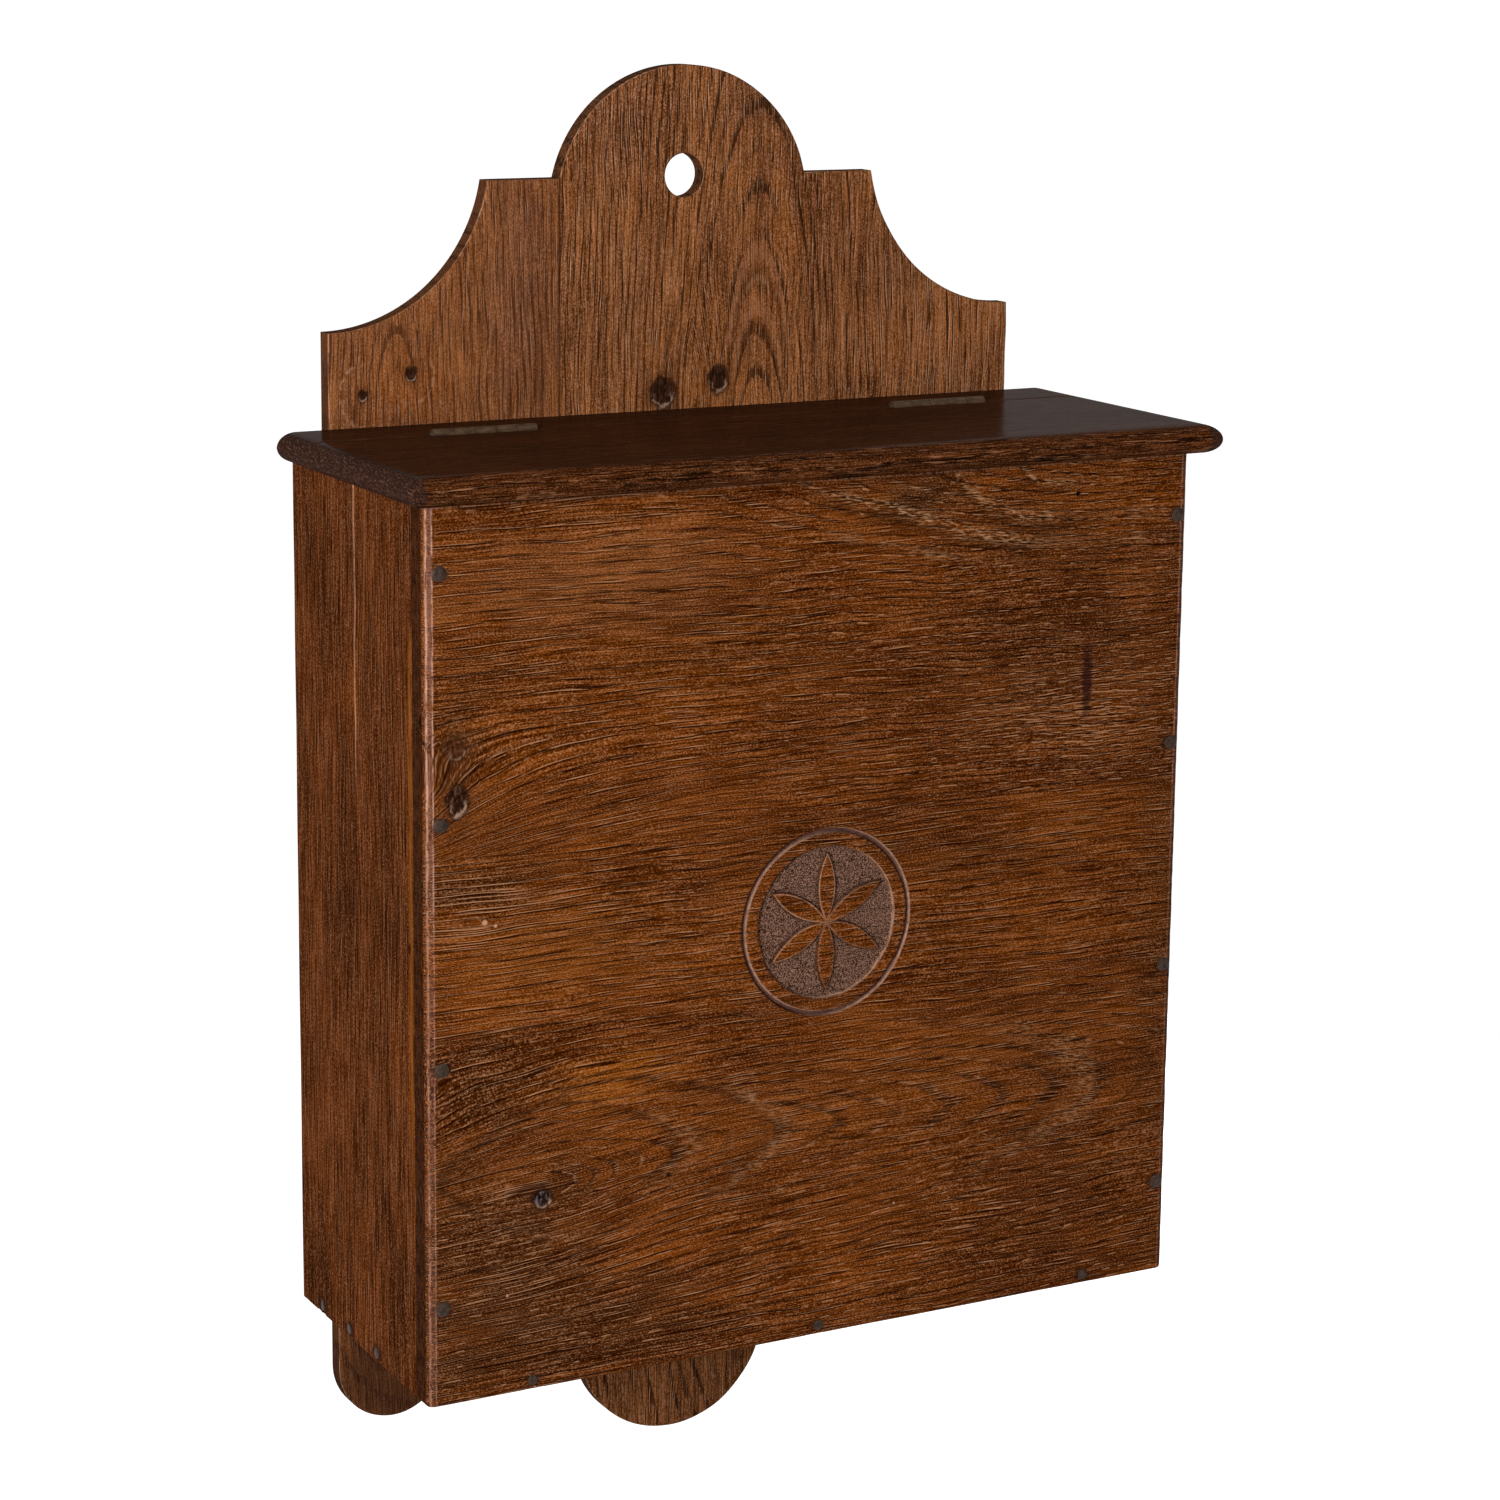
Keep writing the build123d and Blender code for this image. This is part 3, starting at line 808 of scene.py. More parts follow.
def nosed(y_front, y_back, front_nose, spacing, seed):
    """Points and faces of a piece of the top with rounded noses at both ends, and along the front if asked"""
    flat_half = TOP_HALF - NOSE_REACH
    bends = np.sin(np.radians(np.arange(0, 91, 9)))
    arris = 0.45
    small = arris * np.array([0.0, 0.12, 0.4, 1.0])
    inner = np.linspace(-flat_half, flat_half, int(2 * flat_half / spacing))
    xs = np.concatenate([-flat_half - NOSE_REACH * bends[:0:-1], inner, flat_half + NOSE_REACH * bends[1:]])
    if front_nose:
        start = y_front + NOSE_REACH
        ys = np.concatenate([start - NOSE_REACH * bends[:0:-1], [start]])
    else:
        start = y_front + arris
        ys = y_front + small
    stop = y_back - arris
    middle = np.linspace(start, stop, max(4, int((stop - start) / spacing)) + 1)[1:-1]
    ys = np.concatenate([ys, middle, y_back - small[::-1]])
    grid_x, grid_y = np.meshgrid(xs, ys, indexing="ij")
    dx = np.maximum(np.abs(grid_x) - flat_half, 0)
    dy = np.maximum(y_front + NOSE_REACH - grid_y, 0) if front_nose else 0 * grid_x
    reach = np.maximum(dx, dy)
    power = 7
    blend = (dx ** power + dy ** power) ** (1 / power)
    scale = np.where(blend > 1e-9, reach / np.maximum(blend, 1e-9), 1)
    x = np.sign(grid_x) * (np.minimum(np.abs(grid_x), flat_half) + dx * scale)
    y = np.where(dy > 0, y_front + NOSE_REACH - dy * scale, grid_y)
    places = np.column_stack([x.ravel(), y.ravel()])
    worn = waves(places, 34, seed) * 0.10 + waves(places, 8, seed + 1) * 0.05
    worn = worn.reshape(x.shape)
    half = TOP_THICKNESS / 2 * np.sqrt(np.clip(1 - (reach / NOSE_REACH) ** 2, 0, 1))
    shrink = 1 - 0.012 * (1 + worn) * (reach > 0)
    x = np.where(dx > 0, np.sign(x) * (flat_half + (np.abs(x) - flat_half) * shrink), x)
    y = np.where(dy > 0, y_front + NOSE_REACH + (y - y_front - NOSE_REACH) * shrink, y)
    edge = np.minimum(y_back - grid_y, (grid_y - y_front) if not front_nose else 99.0)
    near = np.clip(1 - edge / arris, 0, 1)
    drop = arris * (1 - np.sqrt(1 - near ** 2))
    mid_z = TOP_Z - TOP_THICKNESS / 2
    top = mid_z + np.maximum(half - drop - 0.05 * (1 + worn) * (half > 1), 0)
    under = mid_z - np.maximum(half - drop, 0)
    nx, ny = x.shape
    numbers = np.arange(nx * ny).reshape(nx, ny)
    points = np.concatenate([np.column_stack([x.ravel(), y.ravel(), z.ravel()]) for z in (top, under)])
    faces = []
    for i in range(nx - 1):
        for j in range(ny - 1):
            a, b, c, d = numbers[i, j], numbers[i + 1, j], numbers[i + 1, j + 1], numbers[i, j + 1]
            faces.append((a, b, c, d))
            faces.append((a + nx * ny, d + nx * ny, c + nx * ny, b + nx * ny))
    rim = list(numbers[:, 0]) + list(numbers[-1, 1:]) + list(numbers[-2::-1, -1]) + list(numbers[0, -2:0:-1])
    for a, b in zip(rim, rim[1:] + rim[:1]):
        if max(points[a, 2], points[b, 2]) - mid_z > 1e-4:
            faces.append((a, a + nx * ny, b + nx * ny, b))
    return points, faces


def top_pieces(material):
    """The fixed rail and the lid, cut for the hinges"""
    rail = nosed(SEAM_Y + SEAM_GAP / 2, -BACK_BOARD, False, 3.0, 61)
    lid = nosed(LID_FRONT_Y, SEAM_Y - SEAM_GAP / 2, True, 3.0, 64)
    rail_piece = new_piece("hinge_rail_worn", *rail, material, "top_oak", "case", "hinge_rail")
    lid_piece = new_piece("lid_worn", *lid, material, "top_oak", "lid", "lid")
    for piece, side in ((rail_piece, 1), (lid_piece, -1)):
        shapes = []
        for x in HINGE_X:
            low = (x - SLOT_HALF, SEAM_Y, TOP_Z - SLOT_LOW)
            high = (x + SLOT_HALF, SEAM_Y + side * (SEAM_GAP / 2 + SLOT_DEEP), TOP_Z + 3)
            shapes.append(box_points(low, high))
            shapes.append(rod_points(x, SEAM_Y, TOP_Z, BARREL_RADIUS, 2 * SLOT_HALF))
        cut(piece, shapes)


def nail_set(name, places, radius, dome, shank, length, material, seed):
    """Forged nails at places ((x, y, z), outward direction), with uneven flat-domed heads"""
    rng = np.random.default_rng(seed)
    points = []
    faces = []
    sides = 22
    angles = turns(sides)
    across = np.array((0.0, 0.0, 1.0))
    total = 0
    # the head's profile: shares of its radius, and of the dome's height above the wood or millimetres below
    rows = ((0.30, 0.97), (0.55, 0.86), (0.78, 0.62), (0.93, 0.28), (1.0, 0.0), (0.97, -0.5), (0.55, -0.7))
    for place, outward in places:
        outward = np.array(outward, float)
        third = np.cross(outward, across)
        lean = rng.uniform(-0.06, 0.06, 2)
        phases = rng.uniform(0, 2 * math.pi, 3)
        lift = dome * rng.uniform(0.75, 1.0)
        uneven = 0.965 + 0.025 * np.sin(2 * angles + phases[0]) + 0.02 * np.sin(3 * angles + phases[1])
        shape = [(share * radius, lift * height if height > 0 else height) for share, height in rows]
        shape += [(shank / 2, -0.75), (shank / 2, -(length - 4.0)), (0.15, -length)]
        points.append([place + outward * lift])
        for ring_radius, height in shape:
            reach = ring_radius * (uneven if ring_radius > shank / 2 + 0.1 else 1)
            a, b = reach * np.cos(angles), reach * np.sin(angles)
            tilt = (lean[0] * a + lean[1] * b) * (height > -0.6)
            rise = np.minimum(height + tilt, dome)
            points.append(place + np.outer(a, across) + np.outer(b, third) + np.outer(rise, outward))
        starts = [total + 1 + k * sides for k in range(len(shape))]
        faces += [(total, starts[0] + i, starts[0] + (i + 1) % sides) for i in range(sides)]
        faces += bridge(starts, sides)
        faces.append(tuple(range(starts[-1], starts[-1] + sides)))
        total = starts[-1] + sides
    new_piece(name + "_forged", np.concatenate(points), faces, material, "iron", "case", name)


def nails(material):
    """All the nails, of the front, the sides and the back"""
    out = (0, -1, 0)
    for name, x in (("front_nails_left", FRONT_NAIL_X[0]), ("front_nails_right", FRONT_NAIL_X[1])):
        places = [((x, FRONT_Y + 0.02, z), out) for z in FRONT_NAIL_Z]
        nail_set(name, places, 3.0, 0.62, 2.4, 34.0, material, 71 if x < 0 else 72)
    places = [((x, FRONT_Y + 0.05, LOW_NAIL_Z), out) for x in BOTTOM_NAIL_X]
    nail_set("front_nails_bottom", places, 2.2, 0.45, 1.8, 34.0, material, 73)
    for side, name in ((-1, "side_nails_left"), (1, "side_nails_right")):
        places = [((side * (HALF_WIDTH - 0.05), y, LOW_NAIL_Z), (side, 0, 0)) for y in SIDE_NAIL_Y]
        nail_set(name, places, 2.2, 0.45, 1.8, 26.0, material, 74 + side)
    for name, z in BACK_NAIL_Z.items():
        places = [((x, -0.45, z), (0, 1, 0)) for x in BACK_NAIL_X]
        nail_set(name, places, 2.5, 0.12, 2.2, 27.0, material, 77 if "rail" in name else 78)


def paint(red, green, blue):
    """A colour as a picture shows it, 0 to 255, as the shader wants it"""
    channels = []
    for value in (red, green, blue):
        share = value / 255
        channels.append(share / 12.92 if share <= 0.04045 else ((share + 0.055) / 1.055) ** 2.4)
    return (*channels, 1.0)


class Wire:
    """A value in a node tree, which can be written into sums and products"""

    def __init__(self, graph, socket):
        self.graph = graph
        self.socket = socket

    def __add__(self, other):
        return self.graph.math("ADD", self, other)

    def __radd__(self, other):
        return self.graph.math("ADD", other, self)

    def __sub__(self, other):
        return self.graph.math("SUBTRACT", self, other)

    def __rsub__(self, other):
        return self.graph.math("SUBTRACT", other, self)

    def __mul__(self, other):
        return self.graph.math("MULTIPLY", self, other)

    def __truediv__(self, other):
        return self.graph.math("DIVIDE", self, other)

    def __abs__(self):
        return self.graph.math("ABSOLUTE", self)


class Graph:
    """Builds the node tree of a material or of the world"""

    def __init__(self, owner):
        owner.use_nodes = True
        self.owner = owner
        self.tree = owner.node_tree
        self.tree.nodes.clear()

    def node(self, kind, **settings):
        """A new node with the given settings"""
        made = self.tree.nodes.new(kind)
        for key, value in settings.items():
            setattr(made, key, value)
        return made

    def put(self, socket, value):
        """Links a wire or another socket to a socket, or sets the socket's own value"""
        if isinstance(value, Wire):
            value = value.socket
        if isinstance(value, bpy.types.NodeSocket):
            self.tree.links.new(value, socket)
        else:
            socket.default_value = value

    def fill(self, kind, values, output=0, **settings):
        """A new node with wires or values at its named or numbered inputs, and a wire from its output"""
        made = self.node(kind, **settings)
        for name, value in values.items():
            self.put(made.inputs[name], value)
        return Wire(self, made.outputs[output])

    def end(self, kind, shader):
        """Links the finished shader to the tree's output"""
        self.put(self.node(kind).inputs[0], shader)

    def math(self, operation, *values):
        return self.fill("ShaderNodeMath", dict(enumerate(values)), operation=operation)

    def noise(self, a, b, c, detail=2.0, rough=0.5):
        """Soft noise, about 0.5 on average, at a place given in sizes of its own bumps"""
        place = self.fill("ShaderNodeCombineXYZ", {"X": a, "Y": b, "Z": c})
        values = {"Vector": place, "Scale": 1.0, "Detail": detail, "Roughness": rough}
        return self.fill("ShaderNodeTexNoise", values, "Fac")

    def waver(self, a, b, c, size):
        """Soft noise about 0, of the given size"""
        return (self.noise(a, b, c) - 0.5) * size

    def step(self, value, low, high, to_low=0.0, to_high=1.0):
        """A soft step from to_low to to_high"""
        values = dict(enumerate((value, low, high, to_low, to_high)))
        return self.fill("ShaderNodeMapRange", values, interpolation_type="SMOOTHSTEP")

    def length(self, a, b):
        """How far a place lies from 0"""
        return self.math("SQRT", a * a + b * b)

    def spot(self, du, dv, inner=0.0):
        """1 at the middle of an ellipse where du and dv, in radii, are 0, and 0 outside it"""
        return self.step(self.length(du, dv), inner, 1.0, 1.0, 0.0)

    def bell(self, value, size):
        """1 where the value is 0, falling off softly over the size"""
        ratio = value / size
        return self.math("EXPONENT", ratio * ratio * -1.0)

    def mix(self, share, a, b):
        """A colour between two, each a wire or its red, green and blue from 0 to 255"""
        tints = [paint(*tint) if isinstance(tint, tuple) else tint for tint in (a, b)]
        return self.fill("ShaderNodeMix", {0: share, 6: tints[0], 7: tints[1]}, 2, data_type="RGBA")

    def shaded(self, colour, amount):
        """A colour made lighter or darker"""
        return self.fill("ShaderNodeVectorMath", {0: colour, "Scale": amount}, operation="SCALE")

    def seen_directly(self):
        """1 for what the camera sees, also in reflections and through glass, and else 0"""
        path = self.node("ShaderNodeLightPath").outputs
        seen = self.math("MAXIMUM", path["Is Camera Ray"], path["Is Glossy Ray"])
        return self.math("MAXIMUM", seen, path["Is Transmission Ray"])


class Surface(Graph):
    """Builds a procedural material: x, y and z are the place in millimetres, colour is what is laid so far"""

    def __init__(self, name):
        super().__init__(bpy.data.materials.new(name))
        place = self.node("ShaderNodeTexCoord").outputs["Object"]
        scaled = self.shaded(place, 1 / MM)
        split = self.node("ShaderNodeSeparateXYZ")
        self.put(split.inputs[0], scaled)
        self.x, self.y, self.z = (Wire(self, output) for output in split.outputs)
        self.colour = None

    def lay(self, share, tint):
        """Lays a tint over the colour, with the given strength"""
        self.colour = self.mix(share, self.colour, tint)

    def finish(self, roughness, height, bump, **constants):
        """The finished material, with a bump of the given depth in metres"""
        lift = self.fill("ShaderNodeBump", {"Distance": bump, "Height": height})
        values = {"Base Color": self.colour, "Roughness": roughness, "Normal": lift}
        if constants.get("Coat_Weight"):
            values["Coat Normal"] = lift
        for name, value in constants.items():
            values[name.replace("_", " ")] = value
        shader = self.fill("ShaderNodeBsdfPrincipled", values)
        self.end("ShaderNodeOutputMaterial", shader)
        return self.owner


# Waxed oak has no sheen of its own, only its wax coat's
WOOD_SHEEN = {"Specular_IOR_Level": 0.0, "Coat_Roughness": 0.25}


def oak(g, s, t, d, ring, look, dash=None, limed=0.0, stains=None, lines=None):
    """Lays oak in grain coordinates: s along the fibres, t and d across, ring the distance from the heart.

    Returns its height for the bump and how porous it is. look holds the tints and strengths, dash is the
    coordinate that the pores' length follows, limed where more pale wax and painted highlight show at the
    pores, stains are a place and its patches of stain, and lines is how strong the years' fine lines are.
    """
    seed = look["seed"]
    broad = g.noise(s / 120 + seed, t / 34, d / 34)
    patch = g.noise(s / 42, t / 12 + seed, d / 12)
    tone = g.noise(s / 60, t / 2.3 + seed, d / 2.3, 2.0, 0.6)
    fibre = g.noise(s / 26, t / 0.55 + seed, d / 0.55, 2.0, 0.6)
    grit = g.noise(s / 0.75, t / 0.48 + seed, d / 0.48, 1.0)
    years = ring / look["ring"]
    year = g.math("FLOOR", years)
    turn = g.math("FRACT", years)
    strong = g.noise(year * 0.73 + seed, s / 70, 0.0, 1.0)
    early = g.step(turn, 0.0, 0.10) * g.step(turn, look["early"], look["early"] + 0.32, 1.0, 0.0)
    early = early * g.step(strong, 0.38, 0.60, 0.25, 1.0)
    pieces = g.noise(year * 1.91 + seed, s / 20, 5.0, 1.0)
    dark_line = g.bell(turn - 0.07, 0.075) * g.step(pieces, 0.36, 0.54)
    chips = g.noise(year * 2.37 + seed, s / 7, 9.0, 1.0)
    pale_line = g.bell(turn - 0.24, 0.07) * g.step(chips + limed * 0.12, 0.55, 0.66)
    along = s / 19.0 if dash is None else dash
    vessel = g.noise(along, t / 0.50 + 31 + seed, d / 0.50, 1.0)
    # the pale dash just beside each pore is pale wax and a painted highlight on the pore's edge
    beside = g.noise(along, (t - 0.46) / 0.50 + 31 + seed, d / 0.50, 1.0)
    pore = g.step(vessel + early * look["pores"] * 0.17, 0.615, 0.72)
    pale = g.step(beside + early * 0.14 + limed * 0.11 + (patch - 0.5) * 0.22, 0.67, 0.79)
    g.colour = g.mix(g.step(broad * 0.5 + tone * 0.5, 0.35, 0.65), look["dark"], look["light"])
    g.lay(g.step(patch, 0.50, 0.72) * 0.45, look["warm"])
    if stains:
        lay_stains(g, *stains)
    g.lay(early * look["bands"], look["band"])
    g.colour = g.shaded(g.colour, g.step(fibre, 0.30, 0.70, 0.74, 1.26))
    fleck = fibre * 0.40 + grit * 0.60
    g.lay(g.step(fleck, 0.51, 0.33, 0.0, 0.80), look["pore"])
    g.lay(g.step(fleck, 0.49, 0.68, 0.0, 0.52), look["pale"])
    lines = look["lines"] if lines is None else lines
    pore = g.math("MAXIMUM", pore, dark_line * lines)
    g.lay(pore * 0.84, look["pore"])
    pale = g.math("MAXIMUM", pale, pale_line * lines * 1.15)
    g.lay(pale * (1.0 - pore) * look["wax_and_highlight"], look["pale"])
    return fibre * 0.3 + grit * 0.08 - pore * 0.9, early + pore


def lay_stains(g, u, v, patches):
    """Lays soft patches of stain: their middle, half sizes, tint and strength"""
    push = g.noise(u / 30, v / 11, 2.0) - 0.5
    for cu, cv, ru, rv, tint, share in patches:
        du = (u - cu) / ru + push * 1.3
        dv = (v - cv) / rv + push * 1.3
        g.lay(g.spot(du, dv, 0.1) * share, tint)


# Patches of the front's stain: middle, half sizes, tint and strength
FRONT_STAINS = (
    (-95.0, -138.0, 85.0, 32.0, (138, 80, 38), 0.60),
    (-114.0, -284.0, 60.0, 34.0, (134, 72, 19), 0.55),
    (-92.0, -338.0, 44.0, 15.0, (146, 78, 14), 0.75),
    (132.0, -126.0, 46.0, 13.0, (124, 62, 8), 0.55),
    (20.0, -365.0, 120.0, 34.0, (122, 62, 12), 0.50),
    (-60.0, -172.0, 90.0, 22.0, (112, 58, 14), 0.35),
    (42.0, -118.0, 36.0, 13.0, (56, 28, 7), 0.84),
    (-158.0, -200.0, 22.0, 34.0, (70, 39, 17), 0.60),
    (-146.0, -257.0, 52.0, 13.0, (54, 26, 7), 0.75),
    (-150.0, -334.0, 34.0, 26.0, (60, 29, 7), 0.70),
    (-140.0, -400.0, 64.0, 64.0, (60, 28, 7), 0.82),
    (-110.0, -440.0, 110.0, 34.0, (60, 29, 7), 0.76),
    (166.0, -300.0, 24.0, 190.0, (58, 24, 2), 0.60),
    (110.0, -180.0, 90.0, 66.0, (70, 30, 4), 0.66),
    (110.0, -420.0, 100.0, 52.0, (68, 28, 3), 0.70),
    (10.0, -200.0, 70.0, 40.0, (88, 41, 7), 0.40),
    (60.0, -265.0, 70.0, 12.0, (66, 31, 6), 0.35),
    (96.0, -296.0, 60.0, 32.0, (130, 64, 8), 0.40),
)


def front_oak():
    """The front's stained oak: grain across, with knots, cathedral figure and pale wax in the pores"""
    g = Surface("front_oak")
    x, y, z = g.x, g.y, g.z
    upper = g.step(z, JOINT_Z - 0.05, JOINT_Z + 0.05)
    lower = 1.0 - upper
    # fibres fan out to the right of the upper knot, and rise to the right in the lower board
    fan = g.math("EXPONENT", (x + 157.0) / -38.0) * 20.0 * g.bell(z + 226.0, 24.0)
    rise = g.math("EXPONENT", (x + 170.0) / -60.0) * 18.0 * g.bell(z + 352.0, 27.0)
    swing = g.math("TANH", (x + 85.0) / 42.0) * -8.0 * g.bell(z + 402.0, 30.0)
    waver = g.waver(x / 80, z / 26, 0.0, 6.0)
    across = z + upper * (fan + 13.7) + lower * (rise + swing) + waver
    # the years' lines: cones about a heart that drifts away from the face
    behind = y - FRONT_Y
    depth_up = 5.0 + g.math("MINIMUM", 168.0 - x, 215.0) * 0.165
    high = z + upper * fan + waver + 98.0
    ring_up = g.math("SQRT", high * high + depth_up * depth_up + behind * depth_up * 1.2)
    depth_low = 3.0 + (x + 170.0) * 0.118
    low = z + rise * 0.5 + swing * 0.5 + waver + 372.0
    ring_low = g.math("SQRT", low * low + depth_low * depth_low + behind * (behind + depth_low * 2.0))
    heart = g.bell(x + 122.0, 32.0) * g.bell(z + 381.0, 14.0) * 9.0
    ring = ring_up * upper + (ring_low - heart) * lower + g.waver(x / 34, z / 9, 3.0, 1.9)
    look = {
        "seed": 3.0, "ring": 3.0, "early": 0.16, "pores": 0.9, "wax_and_highlight": 0.75, "bands": 0.30, "lines": 0.9,
        "dark": (78, 32, 1), "light": (115, 56, 8), "warm": (128, 62, 5),
        "band": (56, 22, 0), "pore": (28, 4, 0), "pale": (188, 134, 94),
    }
    # short broken pores where the growth lies across the face
    short_up = g.math("MAXIMUM", x - 40.0, 0.0) * 0.10 * upper
    short_low = g.math("MAXIMUM", -122.0 - x, 0.0) * 0.07 * lower
    dash = x / 21.0 + short_up + short_low
    limed = g.spot((x - 118.0) / 80.0, (z + 212.0) / 42.0) * upper
    limed = limed + g.spot((x + 152.0) / 44.0, (z + 262.0) / 26.0) * lower
    limed = limed + g.spot((x + 130.0) / 60.0, (z + 400.0) / 60.0) * 0.5
    busy_up = g.step(x, -90.0, 60.0, 0.35, 0.90) * upper
    busy_low = g.step(z + x * 0.12, -372.0, -410.0, 0.45, 0.85) * lower
    height, porous = oak(g, x, across, y, ring, look, dash, limed, (x, z, FRONT_STAINS), busy_up + busy_low)
    cone = g.math("SQRT", low * low * 0.38 + depth_low * depth_low)
    front_figure(g, upper, lower, across, cone)
    height = front_marks(g, height)
    carved_ground(g)
    front_edges(g)
    rough = g.step(porous, 0.0, 1.2, 0.40, 0.6)
    return g.finish(rough, height, 0.0003, Coat_Weight=0.008, **WOOD_SHEEN)


def front_figure(g, upper, lower, across, cone):
    """Growth rings that curl across the front, seen as chains of pale broken pores with a dark line beside"""
    x, z = g.x, g.z
    shake = g.waver(x / 12, z / 12, 7.0, 3.4)
    curl = z + 132.0 - g.math("EXPONENT", (x - 62.0) / -15.5) * 18.0 + shake
    small = z + 117.3 - g.math("EXPONENT", (x - 90.0) / -5.0) * 7.3 + shake * 0.5
    bow = z + 127.5 + g.math("TANH", (x - 45.0) / 45.0) * 15.5 + shake
    bow_low = z + 137.5 + g.math("TANH", (x - 30.0) / 45.0) * 12.0 + shake
    cone = cone + shake * 0.6 - 38.2
    # each ring's distance, half width, strength and where it shows
    figure = [
        (curl, 2.4, 1.0, upper * g.step(x, 132.0, 84.0, 0.15, 1.0)),
        (small, 1.5, 0.9, upper * g.step(x, 124.0, 108.0)),
        (bow, 2.5, 1.0, upper * g.step(x, -12.0, 22.0) * g.step(x, 112.0, 72.0, 0.20, 1.0)),
        (bow_low, 1.6, 0.55, upper * g.step(x, -10.0, 15.0) * g.step(x, 90.0, 52.0, 0.15, 1.0)),
        (cone, 1.0, 0.45, lower * g.step(x, 60.0, 112.0, 0.08, 1.0)),
    ]
    # ovals nested round the lower knot: middle, half sizes and where their pale chips begin
    strokes = g.step(g.noise(x / 6, across / 0.7, 2.0), 0.40, 0.60, 0.25, 1.0)
    for cu, cv, ru, rv, start in ((-92.0, -370.0, 79.0, 33.0, -50.0), (-112.0, -371.0, 56.0, 27.0, -84.0)):
        du = g.math("POWER", abs((x - cu) / ru), 1.6)
        dv = g.math("POWER", abs((z - cv) / rv), 1.3)
        off = (g.math("SQRT", du + dv) - 1.0) * rv + shake * 0.7
        figure.append((off, 1.5, 0.5, lower * g.step(x, start, start + 20.0, 0.12, 1.0)))
        ring_line = g.bell(off + 1.2, 0.8) * g.step(z - x * 0.2, -356.0, -346.0, 0.35, 1.0) * lower
        g.lay(ring_line * strokes * 0.6, (46, 20, 6))
    chain = 0.0
    dark = 0.0
    for off, size, share, here in figure:
        chain = g.math("MAXIMUM", chain, g.bell(off, size) * here * share)
        dark = g.math("MAXIMUM", dark, g.bell(off + size * 1.6, size * 1.3) * here * share)
    g.lay(dark * strokes * 0.70, (42, 18, 4))
    chips = g.noise(x / 4.0, z / 0.6 + x / 6, 9.0, 1.0) + (g.noise(x / 14, z / 9, 4.0, 1.0) - 0.5) * 0.3
    g.lay(chain * g.step(chips, 0.51, 0.62) * 0.85, (176, 134, 96))


def front_marks(g, height):
    """The front's knots, worm hole, dark streak, pale chips and iron stains; returns the new height"""
    x, z = g.x, g.z
    (ka, kb, kr, _), (sa, sb, sr, _), (ha, hb, hr, _), (u, v, _, _) = FRONT_KNOTS
    height = knot(g, height, x - ka, z - kb, kr - 0.8)
    height = knot(g, height, x - sa, z - sb, sr, 1.2, (88, 52, 34), 0.45)
    height = knot(g, height, x - ha, z - hb, hr - 0.6, 1.0, (106, 100, 104))
    g.lay(g.spot((x - u) / 1.5, (z - v) / 1.5, 0.3), (40, 20, 12))
    u, v, _, _ = WORM_HOLE
    g.lay(g.spot((x - u) / 1.4, (z - v) / 1.4, 0.5), (28, 12, 8))
    streak_x = x - 123.0 + g.waver(0.0, 0.0, z / 4, 2.6)
    g.lay(g.spot(streak_x / 3.3, (z + 200.0) / 21.0, 0.4) * 0.84, (40, 18, 16))
    for u, v, radius in FRONT_CHIPS:
        g.lay(g.spot((x - u) / radius, (z - v) / radius, 0.4) * 0.8, (196, 150, 118))
    iron_stain(g, x, z, FRONT_NAIL_X, FRONT_NAIL_Z, 4.8, 0.42)
    iron_stain(g, x, z, BOTTOM_NAIL_X, (LOW_NAIL_Z,), 3.6, 0.42)
    return height


def front_edges(g):
    """The front's upright arrises, worn paler and with painted highlights, a painted highlight line under the
    top, its end grain with a darker joint to the side, and its paler inside
    """
    x, y, z = g.x, g.y, g.z
    far = abs(x)
    # upright arrises worn paler and greyer with a painted highlight on them, stronger at the left and higher
    # up, and a crisp painted highlight line where they meet the face
    left = g.step(x, 0.0, -1.0, 0.45, 1.0)
    edge = g.step(far, HALF_WIDTH - 3.6, HALF_WIDTH - 2.8)
    front = g.step(y, FRONT_Y + 2.2, FRONT_Y + 1.2)
    wear_and_shine = g.noise(x / 1.2, y / 1.2, z / 7, 3.0, 0.7)
    high = g.step(z, -300.0, -225.0, 0.42, 1.0)
    worn = edge * front * g.step(wear_and_shine, 0.34, 0.60, 0.1, 0.9) * left * high
    g.lay(worn * 0.75, (126, 88, 74))
    crisp = g.bell(far - (HALF_WIDTH - 3.1), 0.30) + g.bell(far - (HALF_WIDTH - 1.0), 0.34) * front
    g.lay(crisp * left * high * g.step(wear_and_shine, 0.38, 0.56, 0.1, 0.9), (196, 148, 126))
    # a painted highlight line just under the top, broken up like the wear
    top_line = g.bell(z - (CASE_TOP_Z - 0.8), 0.5) * g.step(wear_and_shine, 0.4, 0.6)
    g.lay(top_line * 0.7, (168, 120, 92))
    # darker end grain, a darker joint with the side and a paler, unstained inside
    end = g.step(far, HALF_WIDTH - 0.9, HALF_WIDTH - 0.4) * g.step(y, FRONT_Y + 2.8, FRONT_Y + 3.6)
    arcs = g.step(g.noise(y / 1.6, z / 5, 1.0), 0.4, 0.6)
    g.lay(end * 0.85, g.mix(arcs, (30, 13, 4), (62, 34, 20)))
    slot = g.spot((y + 127.3) / 1.1, (z + 190.3) / 3.4, 0.5) * end * g.step(x, 0.0, -1.0)
    g.lay(slot * 0.9, (14, 6, 4))
    seam = end * g.step(y, FRONT_Y + FRONT_BOARD - 0.8, FRONT_Y + FRONT_BOARD - 0.3)
    g.lay(seam * 0.7, (34, 16, 8))
    inside_face = g.step(y, FRONT_Y + FRONT_BOARD - 0.6, FRONT_Y + FRONT_BOARD - 0.2) * (1.0 - end)
    g.lay(inside_face * 0.55, (112, 80, 52))
    g.lay(g.bell(z - JOINT_Z, 0.35) * 0.3, (50, 28, 16))


